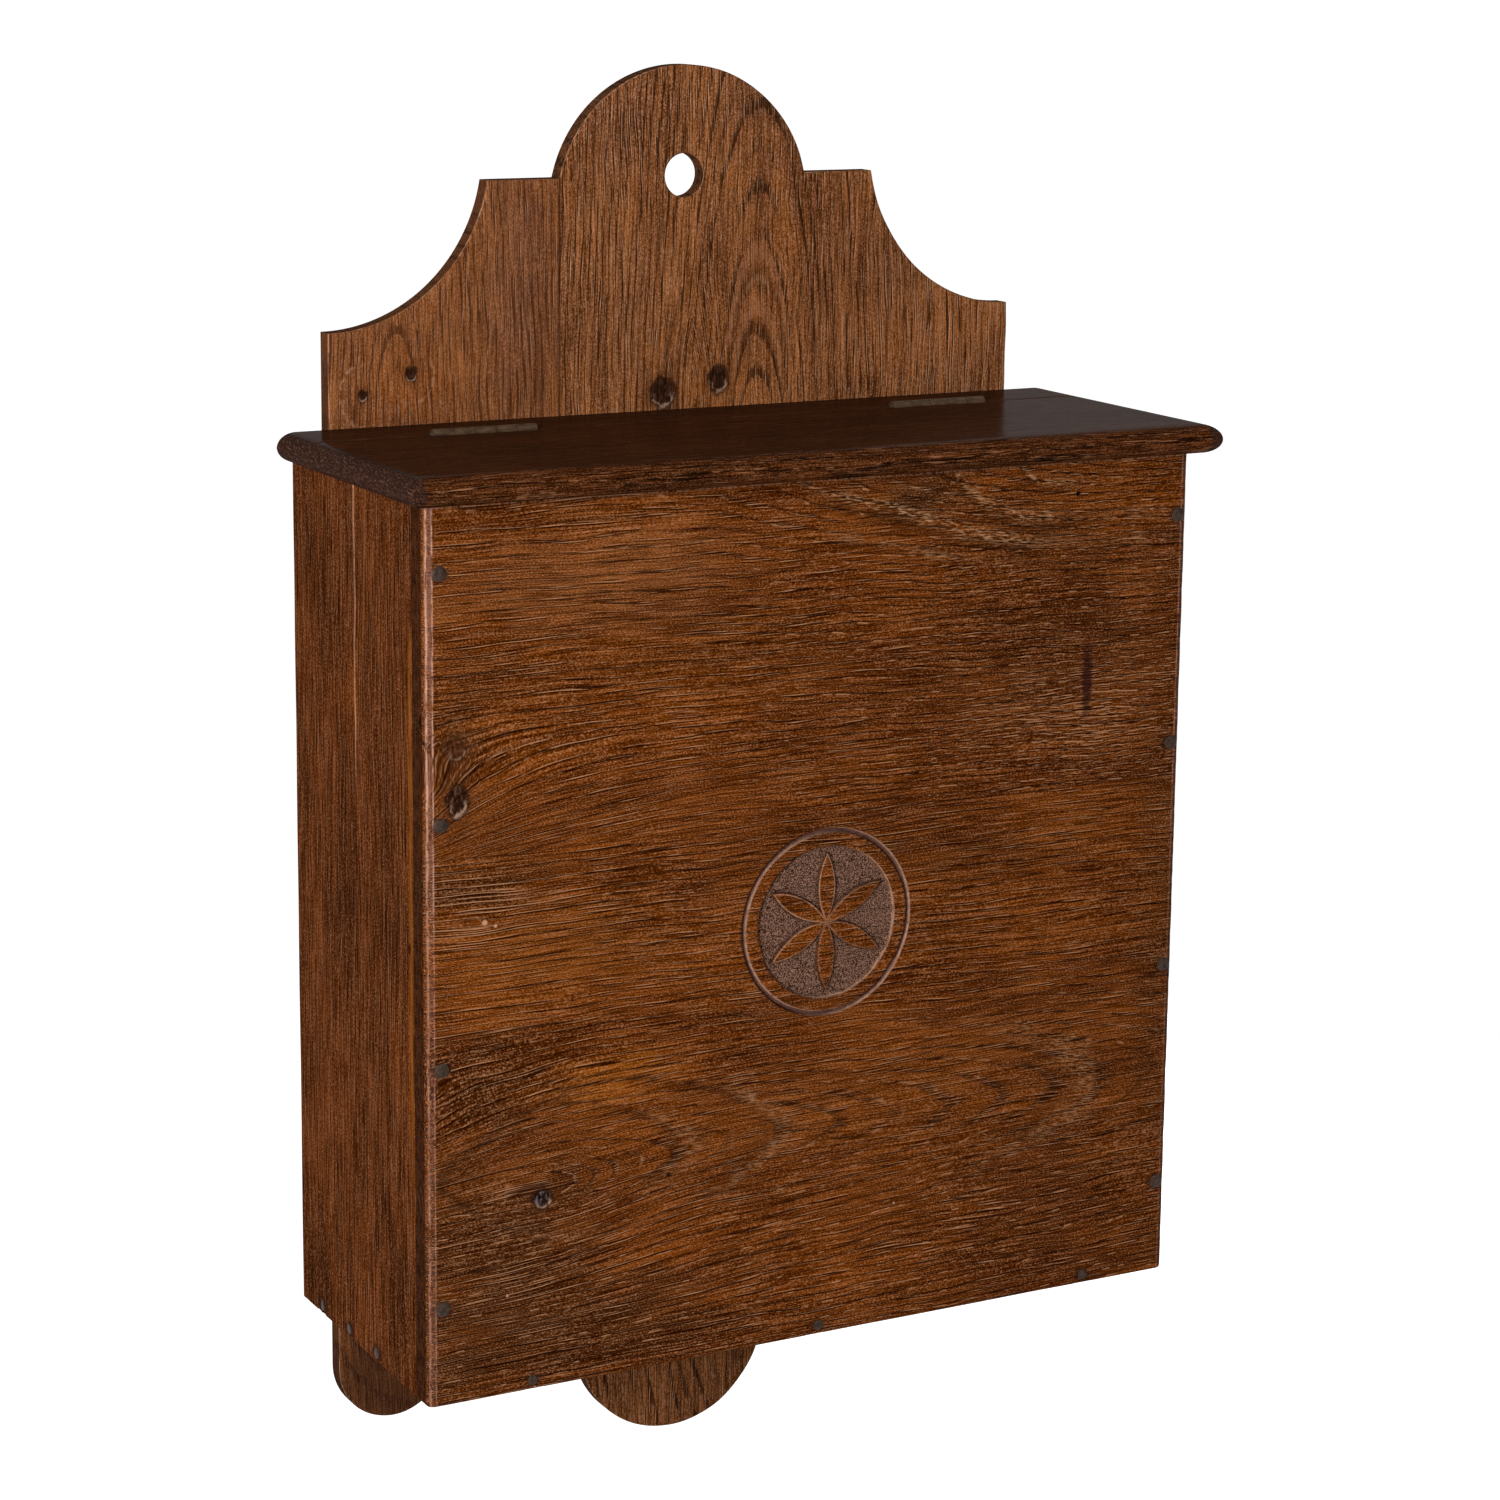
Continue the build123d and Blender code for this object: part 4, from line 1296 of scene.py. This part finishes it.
def knot(g, height, du, dv, radius, tall=1.5, heart=(86, 58, 44), share=0.92):
    """A dark knot: streaked heart, dark outline and a pale crescent at its foot; returns the new height"""
    twist = g.noise(du / 1.5, dv / 3.2, radius, 2.0, 0.6)
    push = g.waver(du / 4, dv / 4, radius + 4, 1.1)
    away = g.math("SQRT", du * du + dv * dv * (1 / tall ** 2)) / radius + push
    outline = g.bell(away - 1.0, 0.14)
    foot = g.bell(away - 0.84, 0.12) * g.step(dv / radius, 0.2, -0.7) * g.step(twist, 0.35, 0.5)
    core = g.step(away, 0.80, 1.0, 1.0, 0.0)
    g.lay(g.step(away, 0.9, 2.4, 1.0, 0.0) * 0.42, (74, 40, 20))
    g.lay(core * share, g.mix(g.step(twist, 0.46, 0.64), (28, 14, 8), heart))
    g.lay(outline * 0.8 * share, (26, 12, 7))
    g.lay(foot * 0.8 * share, (168, 134, 112))
    return height - core * 0.6 + foot * 0.5


def iron_stain(g, u, v, us, vs, radius, share):
    """The dark stain that iron leaves in oak round each nail"""
    total = 0.0
    rough = g.waver(u / 5, v / 3, 0.0, 1.1)
    for nail_u in us:
        for nail_v in vs:
            away = g.length((u - nail_u) / (radius * 1.15), (v - nail_v) / (radius * 0.85)) + rough
            total = g.math("MAXIMUM", total, g.step(away, 0.55, 1.15, 1.0, 0.0))
    g.lay(total * share, (44, 26, 22))


def carved_ground(g):
    """Dusty wax in the roundel's stippled ground, dust with a painted sheen in its ring, and painted
    highlights and shade along the ring's, the petals' and the ground's edges
    """
    x, y, z = g.x, g.y, g.z
    du = x - ROUNDEL[0]
    dv = z - ROUNDEL[1]
    away = g.length(du, dv)
    near = g.step(away, 39.5, 40.5, 1.0, 0.0)
    low = g.step(y, FRONT_Y + 0.50, FRONT_Y + 1.0) * near
    dots = g.noise(x / 0.42, y / 0.42, z / 0.42, 1.0)
    g.lay(low * 0.9, g.mix(g.step(dots, 0.42, 0.62), (36, 18, 11), (150, 114, 96)))
    # the ring's groove is greyed: dust and a painted sheen on its walls
    ring = g.step(away, RING_INNER - 0.3, RING_INNER + 0.3) * near
    g.lay(ring * low * 0.75, (92, 62, 54))
    # a painted highlight on the groove's edge that faces the light, and a painted shade line on the edge
    # opposite
    right = g.step(du, -22.0, 22.0)
    broken = g.step(g.noise(x / 2.5, y, z / 2.5), 0.3, 0.6, 0.45, 1.0)
    bright = g.bell(away - RING_OUTER, 0.28) * right + g.bell(away - RING_INNER, 0.28) * (1.0 - right)
    dark = g.bell(away - RING_OUTER, 0.5) * (1.0 - right) + g.bell(away - RING_INNER, 0.35) * right
    g.lay(dark * 0.75, (36, 18, 12))
    g.lay(bright * broken * 0.8, (182, 142, 120))
    angle = g.math("ARCTAN2", du, dv)
    off = abs(g.math("WRAP", angle, PETAL_TURN / 2, -PETAL_TURN / 2))
    out = away * g.math("COSINE", off) - PETAL_LENGTH / 2
    across = away * g.math("SINE", off) + PETAL_SIDE
    petal = g.length(out, across) - PETAL_LENGTH
    # painted highlights on the petals' edges, stronger towards the light, and a painted shadow line just
    # outside them
    lit = g.step(du * -0.7 + dv * 0.7, -8.0, 8.0, 0.35, 1.0)
    inner = g.step(away, GROUND_RADIUS - 0.6, GROUND_RADIUS - 1.2)
    g.lay(g.bell(petal + 0.25, 0.22) * inner * broken * lit * 0.7, (190, 146, 118))
    g.lay(g.bell(petal - 0.35, 0.25) * inner * 0.6, (34, 18, 12))
    # a painted highlight on the ground's rim where it faces the light
    rim = g.bell(away - GROUND_RADIUS - 0.1, 0.28) * g.step(du - dv * 0.4, -4.0, 12.0)
    g.lay(rim * broken * 0.7, (180, 140, 116))


def side_oak():
    """The sides' stained oak: plain upright grain with fibres coarser than the front's"""
    g = Surface("side_oak")
    x, y, z = g.x, g.y, g.z
    across = y + g.waver(y / 40, z / 120, x / 40, 8.0)
    ring = across * 0.9 + (x - HALF_WIDTH) * 0.3 + g.waver(y / 14, z / 60, 3.0, 4.0)
    look = {
        "seed": 11.0, "ring": 3.4, "early": 0.2, "pores": 0.8, "wax_and_highlight": 0.40, "bands": 0.24, "lines": 0.55,
        "dark": (64, 29, 8), "light": (102, 52, 21), "warm": (109, 54, 12),
        "band": (54, 25, 8), "pore": (34, 11, 1), "pale": (160, 110, 78),
    }
    coarse = 1.7
    height, porous = oak(g, z, across / coarse, x / coarse, ring, look)
    side_marks(g)
    iron_stain(g, y, z, SIDE_NAIL_Y, (LOW_NAIL_Z,), 5.0, 0.6)
    inside_face = g.step(abs(x), INNER_HALF + 0.6, INNER_HALF + 0.2)
    g.lay(inside_face * 0.55, (112, 80, 52))
    return g.finish(g.step(porous, 0.0, 1.2, 0.42, 0.6), height, 0.0003, Specular_IOR_Level=0.0)


def side_marks(g):
    """The crack of the left side, a pale stripe along the front edge and a small knot in it"""
    x, y, z = g.x, g.y, g.z
    outer = g.step(abs(x), HALF_WIDTH - 1.6, HALF_WIDTH - 0.4)
    left = g.step(x, 0.0, -1.0)
    along = g.math("SINE", z / 9.0) * 0.25 + g.math("SINE", z / 3.7) * 0.15
    off = y + CRACK_U + along
    open_share = g.step(z, CRACK_END_Z - 8, CASE_TOP_Z - 30)
    chips = g.noise(y / 1.2, z / 5, 0.0)
    crack = g.bell(off, open_share * 0.55 + 0.25) * g.step(open_share, 0.0, 0.15)
    g.lay(crack * g.step(chips, 0.25, 0.5, 0.4, 1.0) * left * outer * 0.9, (196, 136, 100))
    shadow = g.bell(off - 1.0, 0.4) * g.step(open_share, 0.2, 0.8)
    g.lay(shadow * left * outer * 0.5, (50, 26, 16))
    branch = g.bell(y + 76.0 + (z + 108.5) * 0.07, 0.5) * g.step(z, -215.0, -150.0) * outer * left
    g.lay(branch * 0.4, (150, 96, 60))
    band = g.bell(y + 117.3, 1.6) * g.step(z, -395.0, -330.0) * g.step(z, -150.0, -170.0) * outer
    g.lay(band * g.step(g.noise(y / 3, z / 14, 0.0), 0.3, 0.6, 0.3, 0.8), (140, 78, 22))
    small_knot = g.spot((y + 115.5) / 2.0, (z + 281.0) / 3.2, 0.3)
    g.lay(small_knot * outer * left * 0.8, (34, 16, 8))


# Patches of the back's stain
BACK_STAINS = (
    (-122.0, -80.0, 34.0, 22.0, (168, 92, 30), 0.55),
    (18.0, -88.0, 44.0, 16.0, (166, 96, 40), 0.45),
    (-75.0, -40.0, 24.0, 60.0, (112, 72, 54), 0.60),
    (40.0, -45.0, 26.0, 40.0, (150, 84, 34), 0.45),
    (110.0, -70.0, 60.0, 30.0, (158, 92, 42), 0.50),
    (-38.0, -30.0, 30.0, 90.0, (128, 78, 44), 0.40),
    (30.0, 30.0, 40.0, 22.0, (92, 54, 32), 0.45),
    (-30.0, 20.0, 26.0, 40.0, (124, 78, 50), 0.35),
)


def back_oak():
    """The back's stained oak: upright grain, knots near the top board and a cathedral figure"""
    g = Surface("back_oak")
    x, y, z = g.x, g.y, g.z
    wide = g.step(x, GLUE_X - 0.05, GLUE_X + 0.05)
    narrow = 1.0 - wide
    bend = g.bell(x - 2.0, 16.0) * g.bell(z + 92.0, 30.0) * 9.0 * g.math("SIGN", 4.0 - x)
    sway = g.waver(x / 30, z / 70, 0.0, 8.0)
    across = x + bend * wide + sway + wide * 21.3
    off = x - 35.0 + sway * 0.4
    wide_ring = g.length(off, 25.6 + z * 0.16)
    far = x + 128.0 + sway
    depth = 4.0 + (z + 84.0) * 0.2
    narrow_ring = g.math("SQRT", far * far + depth * depth + 4.0)
    ring = narrow_ring + (wide_ring - narrow_ring) * wide + g.waver(x / 10, z / 40, 5.0, 2.5)
    look = {
        "seed": 23.0, "ring": 3.0, "early": 0.18, "pores": 1.3, "wax_and_highlight": 0.7, "bands": 0.30, "lines": 0.9,
        "dark": (108, 60, 28), "light": (154, 94, 50), "warm": (168, 98, 38),
        "band": (92, 50, 22), "pore": (46, 20, 4), "pale": (208, 158, 124),
    }
    lines = g.step(x, 30.0, -10.0, 0.30, 0.55) * wide + narrow * 0.30
    short = g.step(x, 70.0, 110.0) * g.step(z, -25.0, -45.0)
    dash = z / 19.0 + g.math("MAXIMUM", x - 70.0, 0.0) * 0.12
    height, porous = oak(g, z, across, y, ring, look, dash, short * 0.7, (x, z, BACK_STAINS), lines)
    # two nested arches of the figure below the hole
    here = g.step(z, -92.0, -80.0) * g.step(abs(off), 17.0, 12.0) * wide
    for radius in (20.5, 16.8):
        arch = wide_ring - radius + g.waver(x / 5, z / 9, 8.0, 1.6)
        g.lay(g.bell(arch, 0.45) * here * 0.35, (150, 104, 78))
        g.lay(g.bell(arch + 1.2, 0.60) * here * 0.45, (62, 32, 14))
    g.lay(narrow * 0.36, g.mix(g.noise(x / 5, z / 16, 3.0, 3.0, 0.6), (84, 46, 26), (132, 78, 46)))
    for u, v, radius, _ in BACK_KNOTS:
        height = knot(g, height, x - u, z - v, radius, 1.3, (64, 38, 28))
    # pale rings round the two knots at the left
    for (u, v, _, _), side in zip(BACK_KNOTS[:2], ((x + 122.5) * 0.5 - (z + 76.5) * 0.9, -143.3 - x)):
        away = g.math("SQRT", (x - u) * (x - u) * 1.7 + (z - v) * (z - v)) + g.waver(x / 6, z / 6, u, 6.0)
        broken = g.step(g.noise(x / 3, z / 3, v, 1.0), 0.4, 0.6) * g.step(side, -4.0, 4.0)
        g.lay(g.bell(away - 12.0, 0.7) * broken * narrow * 0.6, (182, 134, 100))
    back_edges(g)
    rough = g.step(porous, 0.0, 1.2, 0.42, 0.62)
    return g.finish(rough, height, 0.0004, Coat_Weight=0.01, **WOOD_SHEEN)


def back_edges(g):
    """The back's glue joint, its darker lower part and sawn edges, a painted highlight along their front
    arris, and the rear
    """
    x, y, z = g.x, g.y, g.z
    g.lay(g.bell(x - GLUE_X - 0.2, 0.5) * 0.8, (48, 26, 16))
    low = g.step(z, UNDERSIDE_Z + 10, UNDERSIDE_Z - 10)
    g.colour = g.shaded(g.colour, 1.0 - low * 0.34)
    corner = g.spot((x + 133.0) / 34.0, (z + 495.0) / 34.0, 0.5)
    g.lay(corner * 0.6, (40, 22, 14))
    edge = g.step(y, -8.5, -7.6) * g.step(y, -0.4, -1.0)
    g.lay(edge * 0.62, (44, 26, 20))
    # a painted highlight line along the front arris
    painted_arris_highlight = g.bell(y + 8.25, 0.22) * g.step(g.noise(x / 4, y, z / 4, 2.0, 0.6), 0.38, 0.6, 0.2, 1.0)
    g.lay(painted_arris_highlight * 0.7, (206, 160, 126))
    g.lay(g.step(y, -0.8, -0.3) * 0.6, (84, 64, 48))


def top_oak():
    """The top's dark stained oak with a half-gloss wax"""
    g = Surface("top_oak")
    x, y, z = g.x, g.y, g.z
    across = y + g.waver(x / 90, y / 30, z / 30, 7.0)
    ring = across * 0.7 + z * 0.7 + g.waver(x / 40, y / 9, z / 9, 4.0)
    flat = g.step(z, TOP_Z - 0.9, TOP_Z - 0.3)
    look = {
        "seed": 37.0, "ring": 3.3, "early": 0.2, "pores": 1.1, "wax_and_highlight": 0.9, "bands": 0.35, "lines": 0.6,
        "dark": (50, 22, 4), "light": (86, 42, 12), "warm": (98, 44, 8),
        "band": (36, 15, 4), "pore": (12, 3, 0), "pale": (152, 102, 70),
    }
    height, porous = oak(g, x, across, z, ring, look, x / 12.0, (1.0 - flat) * 0.25)
    g.lay(flat * 0.62, (58, 32, 19))
    end = g.step(abs(x), TOP_HALF - NOSE_REACH, TOP_HALF - NOSE_REACH + 3)
    g.lay(end * 0.80, (45, 28, 23))
    flecks = g.step(g.noise((y + z) / 3.6, (z - y * 0.3) / 0.55, x / 0.55, 1.0), 0.55, 0.68)
    g.lay(flecks * end * (1.0 - flat) * 0.5, (122, 88, 72))
    rough = g.step(porous, 0.0, 1.2, 0.34, 0.5)
    low = height * g.step(flat, 0.0, 1.0, 1.0, 0.3)
    wax = g.step(flat, 0.0, 1.0, 0.025, 0.095)
    return g.finish(rough, low, 0.0003, Specular_IOR_Level=0.0, Coat_Weight=wax, Coat_Roughness=0.18)


def bottom_oak():
    """Plain aged oak inside the box and beneath it"""
    g = Surface("bottom_oak")
    across = g.y + g.waver(g.x / 90, g.y / 30, 0.0, 7.0)
    look = {
        "seed": 47.0, "ring": 3.2, "early": 0.2, "pores": 0.9, "wax_and_highlight": 0.25, "bands": 0.4, "lines": 0.6,
        "dark": (84, 58, 38), "light": (112, 80, 54), "warm": (118, 82, 50),
        "band": (76, 52, 36), "pore": (48, 32, 22), "pale": (140, 112, 88),
    }
    height, porous = oak(g, g.x, across, g.z, across, look)
    return g.finish(g.step(porous, 0.0, 1.2, 0.55, 0.7), height, 0.0002, Specular_IOR_Level=0.06)


def metal(name, size, fine_size, tints, share, rough, bump, **constants):
    """Dull mottled metal: sizes of patches and flecks, three tints, the flecks' share and the roughness"""
    g = Surface(name)
    big = g.noise(g.x / size[0], g.y / size[1], g.z / size[1], 3.0, 0.6)
    fine = g.noise(g.x / fine_size, g.y / fine_size, g.z / fine_size)
    dark, light, fleck = tints
    g.colour = g.mix(g.step(big, 0.35, 0.65), dark, light)
    g.lay(g.step(fine, 0.5, 0.75) * share, fleck)
    return g.finish(g.step(big, 0.3, 0.7, *rough), big + fine * 0.4, bump, **constants)


def iron():
    """Dark forged iron, worn on its high places"""
    tints = (32, 23, 17), (61, 46, 37), (108, 78, 56)
    constants = {"Metallic": 0.25, "Specular_IOR_Level": 0.2}
    return metal("iron", (2.2, 2.2), 0.5, tints, 0.5, (0.42, 0.62), 0.00012, **constants)


def brass():
    """Dull aged brass with brown tarnish"""
    tints = (60, 42, 28), (92, 70, 48), (58, 38, 28)
    constants = {"Metallic": 0.3, "Specular_IOR_Level": 0.2}
    return metal("brass", (6, 2), 0.7, tints, 0.4, (0.45, 0.60), 0.00008, **constants)


def steel():
    """Drawn steel wire, dulled"""
    g = Surface("pin_steel")
    streak = g.noise(g.x / 6, g.y / 0.4, g.z / 0.4)
    g.colour = g.mix(streak, (92, 86, 80), (140, 132, 124))
    return g.finish(g.step(streak, 0.3, 0.7, 0.35, 0.5), streak, 0.00004, Metallic=0.8)


def make_camera():
    """The camera at the photograph's viewing angle, fitted to the object in the 1500 x 1500 picture"""
    frame_size = 1500.0
    focal_pixels = 3710.0
    optical_centre_v = 640.0
    azimuth = math.radians(-28.30)
    elevation = math.radians(11.19)
    roll = math.radians(0.63)
    place = Vector((-701.3, -1372.3, 108.8)) * MM
    flat = math.cos(elevation)
    back = Vector((math.sin(azimuth) * flat, -math.cos(azimuth) * flat, math.sin(elevation)))
    right = (-back).cross(Vector((0, 0, 1))).normalized()
    up = back.cross(right)
    turned_right = right * math.cos(roll) + up * math.sin(roll)
    turned_up = up * math.cos(roll) - right * math.sin(roll)
    data = bpy.data.cameras.new("camera")
    data.sensor_width = 36.0
    data.lens = focal_pixels / frame_size * data.sensor_width
    data.shift_y = (optical_centre_v - frame_size / 2) / frame_size
    data.clip_start = 0.05
    data.clip_end = 50.0
    camera = linked("camera", data)
    matrix = Matrix((turned_right, turned_up, back)).transposed().to_4x4()
    matrix.translation = place
    camera.matrix_world = matrix
    bpy.context.scene.camera = camera


def soft_lamp(name, place, aim, size, power):
    """A square soft lamp, aimed at a point"""
    data = bpy.data.lights.new(name, "AREA")
    data.size = size
    data.energy = power
    lamp = linked(name, data)
    lamp.location = place
    lamp.rotation_mode = "QUATERNION"
    lamp.rotation_quaternion = (Vector(aim) - Vector(place)).to_track_quat("-Z", "Y")


def make_world():
    """Pale grey behind everything and in reflections, and a soft even light on the object"""
    world = bpy.data.worlds.new("studio")
    bpy.context.scene.world = world
    g = Graph(world)
    strength = g.fill("ShaderNodeMapRange", {"Value": g.seen_directly(), "To Min": 0.43, "To Max": 1.0})
    g.end("ShaderNodeOutputWorld", g.fill("ShaderNodeBackground", {"Strength": strength}))


def make_floor():
    """A pale floor well below the hanging box, rising softly into a backdrop; lengths here in metres"""
    floor_z = -0.95
    half_width, height = 7.0, 6.0
    near, far, bend, steps = -6.0, 7.0, 3.0, 16
    profile = [(near, floor_z), (far - bend, floor_z)]
    for i in range(1, steps + 1):
        angle = math.radians(90 * i / steps)
        profile.append((far - bend + bend * math.sin(angle), floor_z + bend * (1 - math.cos(angle))))
    profile.append((far, floor_z + height))
    points = [(x, y, z) for y, z in profile for x in (-half_width, half_width)]
    faces = [(2 * i, 2 * i + 1, 2 * i + 3, 2 * i + 2) for i in range(len(profile) - 1)]
    mesh = bpy.data.meshes.new("floor")
    mesh.from_pydata(points, [], faces)
    mesh.shade_smooth()
    floor = linked("floor", mesh)
    g = Graph(bpy.data.materials.new("pale_floor"))
    matt = g.fill("ShaderNodeBsdfDiffuse", {"Color": (0.6, 0.6, 0.6, 1.0)})
    glow = g.fill("ShaderNodeEmission", {"Strength": g.seen_directly() * 0.84})
    g.end("ShaderNodeOutputMaterial", g.fill("ShaderNodeAddShader", {0: matt, 1: glow}))
    mesh.materials.append(g.owner)


def dress_hinges():
    """Materials for the CAD nodes that stay in view"""
    leaf_metal = brass()
    pin_metal = steel()
    for name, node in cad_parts.items():
        if any(word in name for word in ("leaf", "screws", "pin")):
            node.data.materials.clear()
            node.data.materials.append(pin_metal if "pin" in name else leaf_metal)


make_camera()
make_world()
make_floor()
soft_lamp("key", (-1.41, -1.40, 0.20), (0.0, -0.1, -0.25), 0.4, 32.0)
soft_lamp("edge", (-1.45, -0.80, -0.55), (-0.17, -0.13, -0.3), 0.25, 3.0)
soft_lamp("fill", (1.7, 1.2, -0.55), (0.0, -0.1, -0.25), 0.7, 16.0)

front_boards(front_oak())
side_boards(side_oak())
bottom_board_piece(bottom_oak())
back_boards(back_oak())
top_pieces(top_oak())
nails(iron())
dress_hinges()

bpy.context.scene.view_settings.view_transform = "Standard"
